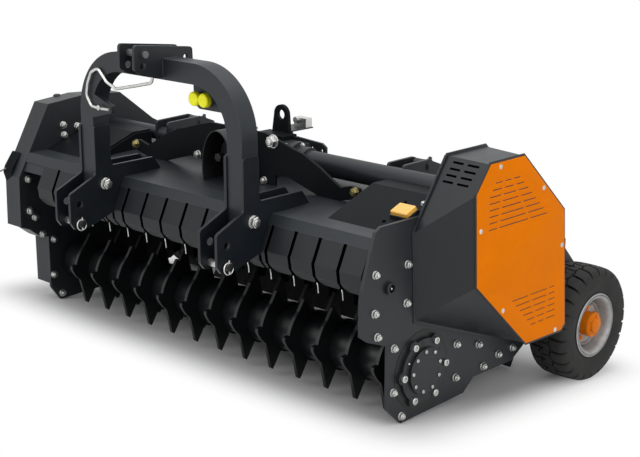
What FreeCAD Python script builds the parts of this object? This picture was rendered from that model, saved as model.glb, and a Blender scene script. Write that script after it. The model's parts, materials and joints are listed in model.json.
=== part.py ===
import FreeCAD, Part

import math
import os

V = FreeCAD.Vector

# A towed and tractor-carried mulcher with a tined feed rotor at the front, a hammer rotor behind it
# and two height-adjustable wheels. Millimetres. +X is the belt-drive side, -Y is the tractor side.
# Sections are drawn in a level frame: y back from the skid corner of the side plates, z up from it.
# park() then tips the whole machine on to its skid corners and wheels, as it stands unhitched.

# Overall sizes
work_width = 2000.0          # between the inner faces of the side plates
side_plate = 12.0
half_width = work_width / 2

# Wheels and their legs
tyre_radius = 228.0
tyre_width = 170.0
wheel_y = 955.0
wheel_z = 164.0
wheel_gap = 16.0             # side plate to tyre
rim_radius = 132.0
rim_lip = 10.0
hub_radius = 48.0
axle_radius = 20.0
leg_size = 70.0
sleeve_wall = 8.0
corner_sheet = 6.0
sleeve_low = 300.0
sleeve_high = 470.0
leg_top = 560.0
slide_clearance = 0.5
running_clearance = 0.05
pin_clearance = 0.05
moving_gap = 8.0

# Feed rotor
feed_y = 108.0
feed_z = 172.0
feed_tip_radius = 176.0      # clears the ground as it turns
feed_root_radius = 98.0      # behind each tooth
feed_land_radius = 155.0     # round back between the spur and the second tooth
feed_plate_thick = 14.0
feed_tube_radius = 90.0
feed_journal_radius = 30.0
feed_plate_count = 13
feed_end_left = 185.0        # side plate to the first tooth plate
feed_end_right = 65.4
feed_plate_pitch = (work_width - feed_end_left - feed_end_right) / (feed_plate_count - 1)
feed_tooth_angle = 33.0      # ahead of straight down
feed_bolt_circle = 114.0
feed_lobe_radius = 22.0
feed_flange_radius = 118.0
feed_cap_radius = 85.0
feed_flange_thick = 14.0
feed_cap_thick = 10.0

# Main rotor
rotor_y = 523.0
rotor_z = 357.0
rotor_drum_radius = 110.0
rotor_tip_radius = 205.0
rotor_journal_radius = 35.0
hammer_rows = 4
hammers_per_row = 13
hammer_width = 60.0
rotor_end_gap = 18.0

# Headstock
headstock_x = 28.0
leg_spacing = 846.0
arch_tube = 76.0
arch_wall = 8.0
arch_front = -254.0
arch_top = 1215.0
arch_bend = 212.0
arch_foot_z = 600.0
hitch_plate = 12.0
lower_pin_y = -342.0
lower_pin_z = 540.0
lower_pin_radius = 14.0
lower_spare_z = 615.0
lower_pin_overhang = 16.0
top_pin_y = -340.0
top_pin_z = arch_top + 24.0
top_pin_radius = 12.7
top_gap = 72.0
top_plate = 12.0
top_spare_y = -345.0
top_spare_z = arch_top - 19.0
plate_corner = 14.0
hook_y = -264.0
hook_rod_radius = 6.0
hook_bend = 26.0
coupler_plate_y = -188.0
coupler_cap = 20.0
coupler_cap_radius = 26.0
coupler_z = arch_top - 137.0
coupler_x = 195.0
coupler_pitch = 53.0

# Hood and front curtain
hood_sheet = 8.0
beam_front_y = -143.0
beam_front_z = 656.0
beam_top_y = -123.0
beam_top_z = 692.0
beam_depth = 90.0
flap_count = 16                # the left end has none
flap_pitch = work_width / 17.15
flap_slit = 16.0
flap_corner = 26.0
flap_thick = 5.0
door_hinge_y = 800.0
door_hinge_z = 600.0
door_hinge_radius = 12.0
door_knuckle_radius = 20.0
door_lever_y = 22.0          # rod pin from the hinge
door_lever_z = 50.0
open_pivot = 5.0             # room round the rod pin
door_bottom_z = 150.0
door_sheet = 6.0

# Drive
tube_y = 343.0
tube_z = 767.0
tube_radius = 44.0
tube_wall = 6.0
cross_tube_z = 755.0         # on the side without the belt drive
cross_tube_radius = 30.0
gearbox_width = 236.0
gearbox_front = 159.0
gearbox_back = 440.0
gearbox_top = 815.0
arm_plate = 12.0
pto_z = 797.0
pto_radius = 17.45           # 1 3/8 inch stub
pto_shank_radius = 24.0
pto_length = 76.0
nose_radius = 62.0           # boss that the stub comes out of
nose_length = 30.0
guard_half_width = 88.0
guard_half_height = 150.0
guard_top = 904.0
guard_front = 40.0
guard_sheet = 4.0
ramp_inner = half_width - 310.0
ramp_front_y = -44.0
ramp_front_z = 680.0
ramp_top_y = 203.0
ramp_top_z = 771.0
ramp_sheet = 8.0
eye_x = -32.0
eye_y = 446.0                # front face of the eye plate
eye_plate = 15.0
eye_hole_z = 906.0
eye_hole_radius = 20.0
lamp_x = half_width - 88.0
lamp_width = 82.0
lamp_up = 94.0               # along the ramp from its front edge
lamp_depth = 66.0
lamp_base = 12.0
lamp_lens = 16.0
cover_sheet = 4.0
cover_x = half_width + side_plate + 182.0
panel_x = cover_x + cover_sheet
left_cover_depth = 90.0

# Door cylinders
lug_x = 663.0
lug_gap = 62.0
lug_plate = 12.0
cylinder_pin_y = 500.0
cylinder_pin_z = 795.0
rod_pin_y = door_hinge_y + door_lever_y
rod_pin_z = door_hinge_z + door_lever_z
barrel_radius = 25.0
rod_radius = 14.0
cylinder_pin_radius = 10.0
barrel_length = 230.0
eye_width = 40.0
eye_radius = 23.0


def yz(points):
    return [V(0, y, z) for y, z in points]


def outline_wire(corners, radius):
    """Closed wire through the corners, each rounded by radius where it is more than 0."""
    if radius <= 0:
        return Part.makePolygon(corners + [corners[0]])
    edges = []
    arcs = []
    count = len(corners)
    for i in range(count):
        here = corners[i]
        back = (corners[i - 1] - here).normalize()
        ahead = (corners[(i + 1) % count] - here).normalize()
        half = back.getAngle(ahead) / 2
        shorter = min((corners[i - 1] - here).Length, (corners[(i + 1) % count] - here).Length)
        reach = min(radius / math.tan(half), 0.45 * shorter)
        middle = (back + ahead).normalize()
        bulge = reach / math.cos(half) - reach * math.tan(half)
        arcs.append((here + back * reach, here + middle * bulge, here + ahead * reach))
    for i in range(count):
        edges.append(Part.LineSegment(arcs[i - 1][2], arcs[i][0]).toShape())
        edges.append(Part.Arc(*arcs[i]).toShape())
    return Part.Wire(edges)


def prism(points, x0, x1, corner=0.0):
    """Flat outline in the YZ plane, from x0 to x1."""
    face = Part.Face(outline_wire(yz(points), corner))
    face.translate(V(x0, 0, 0))
    return face.extrude(V(x1 - x0, 0, 0))


def slab(points, y0, y1, corner=0.0):
    """Flat outline in the XZ plane, from y0 to y1."""
    face = Part.Face(outline_wire([V(x, 0, z) for x, z in points], corner))
    face.translate(V(0, y0, 0))
    return face.extrude(V(0, y1 - y0, 0))


def bent_rod(points, radius, bend):
    """Round rod through the points, with a bend at each one between."""
    edges = []
    last = points[0]
    for i in range(1, len(points) - 1):
        here = points[i]
        back = (points[i - 1] - here).normalize()
        ahead = (points[i + 1] - here).normalize()
        half = back.getAngle(ahead) / 2
        shorter = min((points[i - 1] - here).Length, (points[i + 1] - here).Length)
        reach = min(bend / math.tan(half), 0.45 * shorter)
        bulge = reach / math.cos(half) - reach * math.tan(half)
        start, end = here + back * reach, here + ahead * reach
        edges.append(Part.LineSegment(last, start).toShape())
        edges.append(Part.Arc(start, here + (back + ahead).normalize() * bulge, end).toShape())
        last = end
    edges.append(Part.LineSegment(last, points[-1]).toShape())
    circle = Part.Circle(points[0], points[1] - points[0], radius).toShape()
    return Part.Wire(edges).makePipeShell([Part.Wire([circle])], True, True)


def box(x0, x1, y0, y1, z0, z1):
    return Part.makeBox(x1 - x0, y1 - y0, z1 - z0, V(x0, y0, z0))


def rod_x(y, z, radius, x0, x1):
    return Part.makeCylinder(radius, x1 - x0, V(x0, y, z), V(1, 0, 0))


def rod_y(x, z, radius, y0, y1):
    return Part.makeCylinder(radius, y1 - y0, V(x, y0, z), V(0, 1, 0))


def tube_x(y, z, outer, inner, x0, x1):
    return rod_x(y, z, outer, x0, x1).cut(rod_x(y, z, inner, x0 - 1, x1 + 1))


def offset_line(points, distance):
    """The polyline moved sideways by distance, with mitred corners."""
    out = []
    for i, (y, z) in enumerate(points):
        normals = []
        if i > 0:
            dy, dz = y - points[i - 1][0], z - points[i - 1][1]
            normals.append((-dz / math.hypot(dy, dz), dy / math.hypot(dy, dz)))
        if i < len(points) - 1:
            dy, dz = points[i + 1][0] - y, points[i + 1][1] - z
            normals.append((-dz / math.hypot(dy, dz), dy / math.hypot(dy, dz)))
        ny = sum(n[0] for n in normals)
        nz = sum(n[1] for n in normals)
        size = math.hypot(ny, nz)
        ny, nz = ny / size, nz / size
        grow = distance / (ny * normals[0][0] + nz * normals[0][1])
        out.append((y + ny * grow, z + nz * grow))
    return out


def sheet(points, thickness, x0, x1):
    """Bent sheet: the polyline thickened to its left, from x0 to x1."""
    return prism(points + offset_line(points, thickness)[::-1], x0, x1)


def mirror_x(shape):
    return shape.mirror(V(0, 0, 0), V(1, 0, 0))


def fuse(shapes):
    whole = shapes[0]
    if len(shapes) > 1:
        whole = shapes[0].multiFuse(shapes[1:])
    return whole.removeSplitter()


# Side plates

def lower_outline():
    """Skid edge, from its front corner back to the wheel leg."""
    return [(0, 0), (352, 12), (410, 58), (646, 58), (721, 101), (850, 250),
            (900, 310), (1020, 310), (1059, 330), (1059, 354), (972, 446), (880, 545)]


def right_outline():
    rear = [(820, 640), (700, 700), (437, 926), (224, 925), (90, 735)]
    front = [(-117, 735), (-143, 721), (-165, 660), (-205, 537), (-213, 498), (-213, 372),
             (-176, 345), (-89, 311), (-75, 302), (-75, 70)]
    return lower_outline() + rear + front


def left_front():
    """Front edge that the left plate shares with its cover, top to bottom."""
    return [(-182, 588), (-187, 369), (-145, 352), (-83, 304), (-48, 302)]


def left_outline():
    rear = [(820, 640), (740, 660), (562, 751), (377, 895), (167, 906), (-14, 889)]
    return lower_outline() + rear + left_front() + [(-48, 68)]


def plate_bores(x0, x1):
    """Journal bores of both rotors."""
    return [rod_x(feed_y, feed_z, feed_journal_radius + running_clearance, x0 - 1, x1 + 1),
            rod_x(rotor_y, rotor_z, rotor_journal_radius + running_clearance, x0 - 1, x1 + 1)]


def side_plates():
    right = prism(right_outline(), half_width, half_width + side_plate)
    left = prism(left_outline(), -half_width - side_plate, -half_width)
    for bore in plate_bores(half_width, half_width + side_plate):
        right = right.cut(bore)
        left = left.cut(mirror_x(bore))
    pin = rod_x(door_hinge_y, door_hinge_z, door_hinge_radius, half_width - 1, half_width + side_plate + 1)
    right, left = right.cut(pin), left.cut(mirror_x(pin))
    hole = rod_x(tube_y, tube_z, tube_radius, half_width - 1, half_width + side_plate + 1)
    left_hole = rod_x(tube_y, cross_tube_z, cross_tube_radius, -half_width - side_plate - 1, -half_width + 1)
    return {"side_plate_right": right.cut(hole), "side_plate_left": left.cut(left_hole)}


# Hood

def hood_line():
    """Outer face of the hood, from the beam back to the door."""
    return [(beam_top_y + beam_depth, beam_top_z), (150, 702), (420, 710), (610, 694),
            (door_hinge_y - 40, door_hinge_z + 22)]


def hood():
    return {"hood_sheet": sheet(hood_line()[::-1], hood_sheet, -half_width, half_width)}


def front_beam():
    back_y, back_z = hood_line()[0]
    outline = [(beam_front_y - 17, beam_front_z - 40), (beam_front_y, beam_front_z), (beam_top_y, beam_top_z),
               (back_y, back_z), (back_y, beam_front_z - 40)]
    beam = prism(outline, -half_width, half_width)
    return {"front_beam": beam.cut(sheet(flap_line(), flap_thick, -half_width, half_width))}


def outside_housing(shape):
    """Keeps what lies in front of the beam and above the hood."""
    line = [(beam_front_y, beam_front_z), (beam_top_y, beam_top_z)] + hood_line()
    floor = [(line[-1][0], 100), (beam_front_y - 80, 100), (beam_front_y - 17, beam_front_z - 40)]
    return shape.cut(prism(line + floor, -half_width, half_width))


def flap_line():
    """Front face of the flaps, top to bottom."""
    return [(beam_front_y, beam_front_z), (-183, 570), (-176, 525), (-150, 492)]


def front_flaps():
    flaps = []
    first = -half_width + 1.1 * flap_pitch
    edges = [first + k * flap_pitch for k in range(flap_count)]
    edges.append(half_width - flap_slit / 2)
    for x0, x1 in zip(edges, edges[1:]):
        flap = sheet(flap_line(), flap_thick, x0 + flap_slit / 2, x1 - flap_slit / 2)
        foot = flap_line()[-1][1] + flap_thick
        flap = flap.makeFillet(flap_corner, [e for e in flap.Edges if e.BoundBox.ZMax < foot and e.Length < 2 * flap_thick])
        for centre in hitch_places():
            for side in (-1, 1):
                middle = centre + side * (arch_tube + hitch_plate) / 2
                slot = hitch_plate / 2 + 2
                flap = flap.cut(box(middle - slot, middle + slot, -300, 0, 400, 700))
        flaps += flap.Solids
    return {"front_flaps": Part.makeCompound(flaps)}


# Headstock

def arch():
    half = leg_spacing / 2
    y = arch_front + arch_tube / 2
    top = arch_top - arch_tube / 2
    z_bend = top - arch_bend
    x_bend = half - arch_bend

    def at(x, z):
        return V(headstock_x + x, y, z)

    mid = arch_bend * math.sin(math.radians(45))
    path = Part.Wire([
        Part.LineSegment(at(-half, arch_foot_z), at(-half, z_bend)).toShape(),
        Part.Arc(at(-half, z_bend), at(-x_bend - mid, z_bend + mid), at(-x_bend, top)).toShape(),
        Part.LineSegment(at(-x_bend, top), at(x_bend, top)).toShape(),
        Part.Arc(at(x_bend, top), at(x_bend + mid, z_bend + mid), at(half, z_bend)).toShape(),
        Part.LineSegment(at(half, z_bend), at(half, arch_foot_z)).toShape()])

    def section(size):
        h = size / 2
        c = at(-half, arch_foot_z)
        corners = [c + V(-h, -h, 0), c + V(h, -h, 0), c + V(h, h, 0), c + V(-h, h, 0)]
        return Part.makePolygon(corners + [corners[0]])

    outer = path.makePipeShell([section(arch_tube)], True, True)
    inner = path.makePipeShell([section(arch_tube - 2 * arch_wall)], True, True)
    return {"headstock_arch": outer.cut(inner)}


def outside_arch(shape):
    """Keeps what lies inside the opening of the arch."""
    half = leg_spacing / 2 - arch_tube / 2
    top = arch_top - arch_tube
    r = arch_bend - arch_tube / 2
    opening = box(headstock_x - half, headstock_x + half, -400, 0, arch_foot_z, top)
    rounding = [e for e in opening.Edges if e.BoundBox.ZMin > top - 1 and e.BoundBox.YLength > 100]
    return shape.common(opening.makeFillet(r, rounding))


def hitch_outline():
    y, z = lower_pin_y, lower_pin_z
    front, back = arch_front - 6, arch_front + arch_tube - 6
    return [(y - 46, z + 5), (y - 46, z + 121), (front, z + 179), (front, 912), (back, 912), (back, 747),
            (31, 748), (117, 622), (-100, 600), (-156, 566), (y + 42, z - 23), (y - 26, z - 23)]


def hitch_places():
    return [headstock_x - leg_spacing / 2, headstock_x + leg_spacing / 2]


def hitch_plates():
    plates, pins = [], []
    for centre in hitch_places():
        for direction in (-1, 1):
            a = centre + direction * arch_tube / 2
            b = a + direction * hitch_plate
            plate = outside_housing(prism(hitch_outline(), min(a, b), max(a, b), plate_corner))
            hole = rod_x(lower_pin_y, lower_pin_z, lower_pin_radius, min(a, b) - 1, max(a, b) + 1)
            spare = rod_x(lower_pin_y, lower_spare_z, lower_pin_radius, min(a, b) - 1, max(a, b) + 1)
            plates.append(plate.cut(hole).cut(spare))
        reach = arch_tube / 2 + hitch_plate + lower_pin_overhang
        pins.append(rod_x(lower_pin_y, lower_pin_z, lower_pin_radius, centre - reach, centre + reach))
    return {"hitch_plates": Part.makeCompound(plates), "lower_pins": Part.makeCompound(pins)}


def top_link():
    y, z = arch_front, arch_top
    outline = [(y - 128, z + 60), (y + 142, z + 31), (y + 144, z - 20), (y + 104, z - 43), (y - 19, z - 70),
               (y - 92, z - 53), (y - 130, z - 28)]
    plates = []
    for direction in (-1, 1):
        a = headstock_x + direction * top_gap / 2
        b = a + direction * top_plate
        plate = prism(outline, min(a, b), max(a, b), plate_corner)
        plate = plate.cut(rod_x(top_pin_y, top_pin_z, top_pin_radius, min(a, b) - 1, max(a, b) + 1))
        plate = plate.cut(rod_x(top_spare_y, top_spare_z, top_pin_radius, min(a, b) - 1, max(a, b) + 1))
        plate = plate.cut(rod_x(y + 109, z - 3, 10, min(a, b) - 1, max(a, b) + 1))
        bar = box(headstock_x - 300, headstock_x + 300, arch_front, arch_front + arch_tube,
                  arch_top - arch_tube, arch_top)
        plates.append(plate.cut(bar))
    reach = top_gap / 2 + top_plate + 14
    pin = rod_x(top_pin_y, top_pin_z, top_pin_radius, headstock_x - reach, headstock_x + reach)
    return {"top_link_bracket": Part.makeCompound(plates), "top_link_pin": pin}


# What the headstock carries

def shaft_hook():
    """Bent rod that holds the drive shaft up when the machine is unhitched, and its lug on the headstock."""
    path = [(-18, -56), (2, -65), (-6, -93), (-110, -116), (-220, -139), (-275, -118), (-326, -71), (-370, -92),
            (-394, -137), (-404, -183), (-376, -222), (-326, -226), (-268, -224)]
    rod = bent_rod([V(headstock_x + x, hook_y, arch_top + z) for x, z in path], hook_rod_radius, hook_bend)
    leg_face = headstock_x - leg_spacing / 2 + arch_tube / 2
    tip, z = headstock_x - 260, arch_top - 170
    lug = [(leg_face, z), (leg_face, z - 100), (tip, z - 67), (tip, z - 41)]
    seat = hook_y + hook_rod_radius
    return {"shaft_hook": rod, "hook_lug": outside_arch(slab(lug, seat, seat + arch_tube / 4, 6))}


def couplers():
    """Two quick couplers with dust caps on a plate in the corner of the headstock."""
    front = coupler_plate_y
    left, right = coupler_x - 29, coupler_x + 239
    outline = [(left, arch_top - arch_tube + 4), (left, coupler_z - 22), (coupler_x + 1, coupler_z - 39),
               (right, coupler_z - 39), (right, arch_top - arch_tube + 4)]
    blank = outside_arch(slab(outline, front, front + 10))
    bodies = []
    for k in range(2):
        x = coupler_x + k * coupler_pitch
        blank = blank.cut(rod_y(x, coupler_z, 13, front - 1, front + 11))
        body = fuse([rod_y(x, coupler_z, 13, front - 12, front + 50), rod_y(x, coupler_z, 20, front - 12, front)])
        cap = rod_y(x, coupler_z, coupler_cap_radius, front - 12 - coupler_cap, front - 12)
        cap = cap.makeFillet(7, [e for e in cap.Edges if e.BoundBox.YMax < front - 12 - coupler_cap / 2])
        bodies.append((body, cap))
    return {"coupler_plate": blank, "coupler_bodies": Part.makeCompound([b for b, c in bodies]),
            "coupler_caps": Part.makeCompound([c for b, c in bodies])}


# Drive line

def gearbox():
    x0, x1 = headstock_x - gearbox_width / 2, headstock_x + gearbox_width / 2
    body = outside_housing(box(x0, x1, gearbox_front, gearbox_back, 650, gearbox_top))
    body = body.makeFillet(12, [e for e in body.Edges if e.BoundBox.ZMin > gearbox_top - 1])
    nose = rod_y(headstock_x, pto_z, nose_radius, gearbox_front - arm_plate - nose_length, gearbox_front + 5)
    bore = rod_y(headstock_x, pto_z, pto_shank_radius + running_clearance, 0, gearbox_front + 90)
    boss = rod_x(tube_y, tube_z, 56, x1 - 5, x1 + 20)
    return {"gearbox": fuse([body, nose, boss]).cut(bore)}


def arm_outline():
    """Front plate of the gearbox with its foot and its arm out to the ramp, seen from the front."""
    return [(headstock_x - 60, 902), (180, 902), (253, 884), (330, 862), (386, 849), (470, 812), (529, 779),
            (581, 752), (632, 767), (674, 764), (ramp_inner - ramp_sheet, 738), (647, 719), (567, 700),
            (530, 682), (431, 713), (307, 749), (240, 746), (236, 680), (166, 680), (138, 690),
            (headstock_x - 60, 690)]


def gearbox_arms():
    back = gearbox_front
    right = slab(arm_outline(), back - arm_plate, back, 8)
    left = right.mirror(V(headstock_x, 0, 0), V(1, 0, 0))
    plate = outside_housing(fuse([right, left]))
    return {"gearbox_arms": plate.cut(rod_y(headstock_x, pto_z, nose_radius, back - 40, back + 10))}


def oval_y(x, z, half_width, half_height, y0, y1):
    """Upright oval block along Y."""
    oval = Part.Ellipse(V(x, y0, z + half_height), V(x + half_width, y0, z), V(x, y0, z))
    return Part.Face(Part.Wire(oval.toShape())).extrude(V(0, y1 - y0, 0))


def pto():
    """Splined stub and the oval guard that stands round it on the hood."""
    nose_front = gearbox_front - arm_plate - nose_length
    free_end = nose_front - pto_length
    stub = rod_y(headstock_x, pto_z, pto_radius, free_end, nose_front)
    shank = rod_y(headstock_x, pto_z, pto_shank_radius, nose_front, gearbox_front + 85)
    back = gearbox_front - arm_plate
    middle = guard_top - guard_half_height
    bell = oval_y(headstock_x, middle, guard_half_width, guard_half_height, guard_front, back)
    bell = bell.makeFillet(6, [e for e in bell.Edges if e.BoundBox.YMin > back - 1])
    inside = (guard_half_width - guard_sheet, guard_half_height - guard_sheet)
    hollow = oval_y(headstock_x, middle, *inside, guard_front - 1, back - guard_sheet)
    hole = rod_y(headstock_x, pto_z, nose_radius, guard_front, back + 1)
    return {"pto_stub": fuse([stub, shank]), "pto_guard": outside_housing(bell.cut(hollow).cut(hole))}


def drive_tubes():
    x_right = headstock_x + gearbox_width / 2 + 20
    x_left = headstock_x - gearbox_width / 2
    right = tube_x(tube_y, tube_z, tube_radius, tube_radius - tube_wall, x_right, half_width + side_plate)
    flange = tube_x(tube_y, tube_z, tube_radius + 26, tube_radius, x_right, x_right + 16)
    saddle = tube_x(tube_y, tube_z, tube_radius + 10, tube_radius, x_right + 16, x_right + 70)
    left = tube_x(tube_y, cross_tube_z, cross_tube_radius, cross_tube_radius - tube_wall,
                  -half_width - side_plate, x_left)
    left_flange = tube_x(tube_y, cross_tube_z, cross_tube_radius + 22, cross_tube_radius, x_left - 14, x_left)
    pair = [outside_housing(fuse([right, flange, saddle])), outside_housing(fuse([left, left_flange]))]
    return {"drive_tubes": Part.makeCompound(pair)}


def back_plate():
    """Plate across the back of the gearbox, with two spare holes at its right end."""
    x0 = headstock_x - gearbox_width / 2
    outline = [(x0, 660), (x0, 806), (60, 828), (204, 820), (228, 806), (228, 776), (180, 752), (150, 660)]
    plate = outside_housing(slab(outline, gearbox_back, gearbox_back + 10, 6))
    for x, z in ((150, 794), (204, 790)):
        plate = plate.cut(rod_y(x, z, 7, gearbox_back - 1, gearbox_back + 11))
    return {"back_plate": plate}


def lifting_eye():
    """Eye plate on a foot on top of the gearbox."""
    outline = [(eye_x - 52, gearbox_top + 18), (eye_x - 40, eye_hole_z), (eye_x + 40, eye_hole_z),
               (eye_x + 46, gearbox_top + 18)]
    y0 = eye_y
    plate = fuse([slab(outline, y0, y0 + eye_plate), rod_y(eye_x, eye_hole_z, 40, y0, y0 + eye_plate)])
    plate = plate.cut(rod_y(eye_x, eye_hole_z, eye_hole_radius, y0 - 1, y0 + eye_plate + 1))
    foot = box(eye_x - 80, eye_x + 76, gearbox_back - 60, y0 + eye_plate, gearbox_top, gearbox_top + 18)
    return {"lifting_eye": fuse([plate, foot]).cut(back_plate()["back_plate"])}


def valve_block():
    """Small junction block on a bent strip behind the lifting eye."""
    back = gearbox_back + 10
    strip = [(571, 846), (back, 846), (back, 770)]
    bracket = sheet(strip, 5, -72, 30)
    block = fuse([box(-40, 28, 530, 566, 846, 884), rod_y(-24, 874, 13, 520, 530)])
    foot = lifting_eye()["lifting_eye"]
    return {"valve_block": block, "valve_bracket": bracket.cut(foot)}


def ramps():
    """Folded covers that rise from the hood to the tubes at each end, with a closed inner end."""
    line = [(ramp_front_y, ramp_front_z), (ramp_top_y, ramp_top_z), (tube_y - tube_radius - 4, ramp_top_z)]
    skin = sheet(line, ramp_sheet, ramp_inner, half_width)
    end = prism(line + [(line[-1][0], 650), (ramp_front_y, 650)], ramp_inner - ramp_sheet, ramp_inner)
    right = outside_housing(fuse([skin, end]))
    left = mirror_x(right)
    return {"ramps": Part.makeCompound([right, left])}


def lamp():
    """Amber marker lamp that lies on the right ramp."""
    base = box(lamp_x, lamp_x + lamp_width, 0, lamp_depth, 0, lamp_base)
    lens = box(lamp_x + 3, lamp_x + lamp_width - 3, 3, lamp_depth - 3, lamp_base, lamp_base + lamp_lens)
    lens = lens.makeFillet(7, [e for e in lens.Edges if e.BoundBox.ZMax > lamp_base + 1])
    slope = math.atan2(ramp_top_z - ramp_front_z, ramp_top_y - ramp_front_y)
    y = ramp_front_y + lamp_up * math.cos(slope) - ramp_sheet * math.sin(slope)
    z = ramp_front_z + lamp_up * math.sin(slope) + ramp_sheet * math.cos(slope)
    out = {"lamp_base": base, "amber_lamp": lens}
    for shape in out.values():
        shape.rotate(V(0, 0, 0), V(1, 0, 0), math.degrees(slope))
        shape.translate(V(0, y, z))
    return out


def panel_outline():
    return [(231, 919), (423, 920), (682, 680), (720, 235), (697, 215), (476, 220), (174, 499), (157, 825)]


def base_outline():
    return [(224, 925), (437, 926), (690, 690), (722, 240), (700, 212), (456, 214), (66, 362), (50, 680)]


def shrink(points, amount):
    """The outline moved in by amount on every side."""
    cy = sum(p[0] for p in points) / len(points)
    cz = sum(p[1] for p in points) / len(points)
    out = []
    for y, z in points:
        size = math.hypot(y - cy, z - cz)
        out.append((y - (y - cy) / size * amount, z - (z - cz) / size * amount))
    return out


def loft(outline_a, xa, outline_b, xb):
    wires = []
    for outline, x in ((outline_a, xa), (outline_b, xb)):
        corners = [V(x, y, z) for y, z in outline]
        wires.append(Part.makePolygon(corners + [corners[0]]))
    return Part.makeLoft(wires, True, True)


def drive_cover():
    x0 = half_width + side_plate
    outer = loft(base_outline(), x0, panel_outline(), cover_x)
    inner = loft(shrink(base_outline(), 3 * cover_sheet), x0 - 1,
                 shrink(panel_outline(), 3 * cover_sheet), cover_x - cover_sheet)
    panel = prism(panel_outline(), cover_x, panel_x)
    return {"drive_cover": outer.cut(inner), "drive_cover_panel": panel}


def left_cover():
    outline = [(-48, 84), (300, 84), (480, 190), (640, 300), (650, 700), (562, 751), (377, 895),
               (167, 906), (-14, 889)] + left_front()
    x1 = -half_width - side_plate
    outer = prism(outline, x1 - left_cover_depth, x1)
    inner = prism(shrink(outline, 3 * cover_sheet), x1 - left_cover_depth + cover_sheet, x1 + 1)
    return {"left_cover": outer.cut(inner)}


# Rotors

def feed_plate(x):
    """Plate of two like halves: a tooth with a hollow front, a spur, a round back and a second tooth."""
    tip, land, root = feed_tip_radius, feed_land_radius, feed_root_radius

    def at(r, angle):
        a = math.radians(angle)
        return V(0, -r * math.sin(a), -r * math.cos(a))

    def line(*ends):
        return Part.LineSegment(*[at(r, angle) for r, angle in ends]).toShape()

    def arc(*points):
        return Part.Arc(*[at(r, angle) for r, angle in points]).toShape()

    edges = []
    for a in (feed_tooth_angle, feed_tooth_angle + 180):
        edges.append(line((root, a), (tip, a)))
        edges.append(line((tip, a), (tip, a + 4)))
        edges.append(arc((tip, a + 4), (land - 10, a + 23), (land - 18, a + 42)))
        edges.append(arc((land - 18, a + 42), (land + 3, a + 54), (tip, a + 64)))
        edges.append(line((tip, a + 64), (tip, a + 68)))
        edges.append(line((tip, a + 68), (land, a + 71)))
        edges.append(arc((land, a + 71), (land, a + 88), (land, a + 106)))
        edges.append(arc((land, a + 106), (land + 8, a + 115), (tip, a + 123)))
        edges.append(line((tip, a + 123), (tip, a + 126)))
        edges.append(line((tip, a + 126), (root, a + 132)))
        edges.append(arc((root, a + 132), (root, a + 156), (root, a + 180)))
    face = Part.Face(Part.Wire(edges))
    face.translate(V(x - feed_plate_thick / 2, 0, 0))
    plate = face.extrude(V(feed_plate_thick, 0, 0))
    return plate.cut(rod_x(0, 0, feed_tube_radius, x - feed_plate_thick, x + feed_plate_thick))


def feed_rotor():
    end = half_width + side_plate
    drum = rod_x(feed_y, feed_z, feed_tube_radius, -half_width + rotor_end_gap, half_width - rotor_end_gap)
    journal = rod_x(feed_y, feed_z, feed_journal_radius, -end - 8, end + 8)
    places = [-half_width + feed_end_left + k * feed_plate_pitch for k in range(feed_plate_count)]
    plates = Part.makeCompound([feed_plate(x) for x in places])
    plates.translate(V(0, feed_y, feed_z))
    return {"feed_rotor_drum": fuse([drum, journal]), "feed_rotor_teeth": plates}


def feed_bearing():
    """Six-lobed bearing flange with a round cap, outside the right side plate."""
    x0 = half_width + side_plate
    parts = [rod_x(feed_y, feed_z, feed_flange_radius, x0, x0 + feed_flange_thick)]
    for k in range(6):
        a = math.radians(60 * k)
        y, z = feed_y + feed_bolt_circle * math.cos(a), feed_z + feed_bolt_circle * math.sin(a)
        parts.append(rod_x(y, z, feed_lobe_radius, x0, x0 + feed_flange_thick))
    parts.append(rod_x(feed_y, feed_z, feed_cap_radius, x0, x0 + feed_flange_thick + feed_cap_thick))
    bore = rod_x(feed_y, feed_z, feed_journal_radius + running_clearance, x0 - 1, x0 + feed_flange_thick - 2)
    return {"feed_bearing": fuse(parts).cut(bore)}


def main_rotor():
    end = half_width + side_plate
    drum = rod_x(rotor_y, rotor_z, rotor_drum_radius, -half_width + rotor_end_gap, half_width - rotor_end_gap)
    journal = rod_x(rotor_y, rotor_z, rotor_journal_radius, -end - 20, end + 20)
    hammers = []
    span = work_width - 2 * rotor_end_gap - 2 * hammer_width
    for row in range(hammer_rows):
        for k in range(hammers_per_row):
            x = -span / 2 + (k + (row + 0.5) / hammer_rows) * span / hammers_per_row
            tool = box(x - hammer_width / 2, x + hammer_width / 2, -25, 25,
                       rotor_drum_radius - 10, rotor_tip_radius - 4)
            tool.rotate(V(0, 0, 0), V(1, 0, 0), row * 360.0 / hammer_rows)
            tool.translate(V(0, rotor_y, rotor_z))
            hammers.append(tool.cut(rod_x(rotor_y, rotor_z, rotor_drum_radius, -half_width, half_width)))
    return {"main_rotor_drum": fuse([drum, journal]), "main_rotor_hammers": Part.makeCompound(hammers)}


# Rear door and its cylinders

def door_line():
    return [(door_hinge_y + door_knuckle_radius - 3, door_hinge_z), (905, 505), (960, 400), (960, 290),
            (900, door_bottom_z)]


def door_half_width():
    return corner_x() - moving_gap


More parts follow.
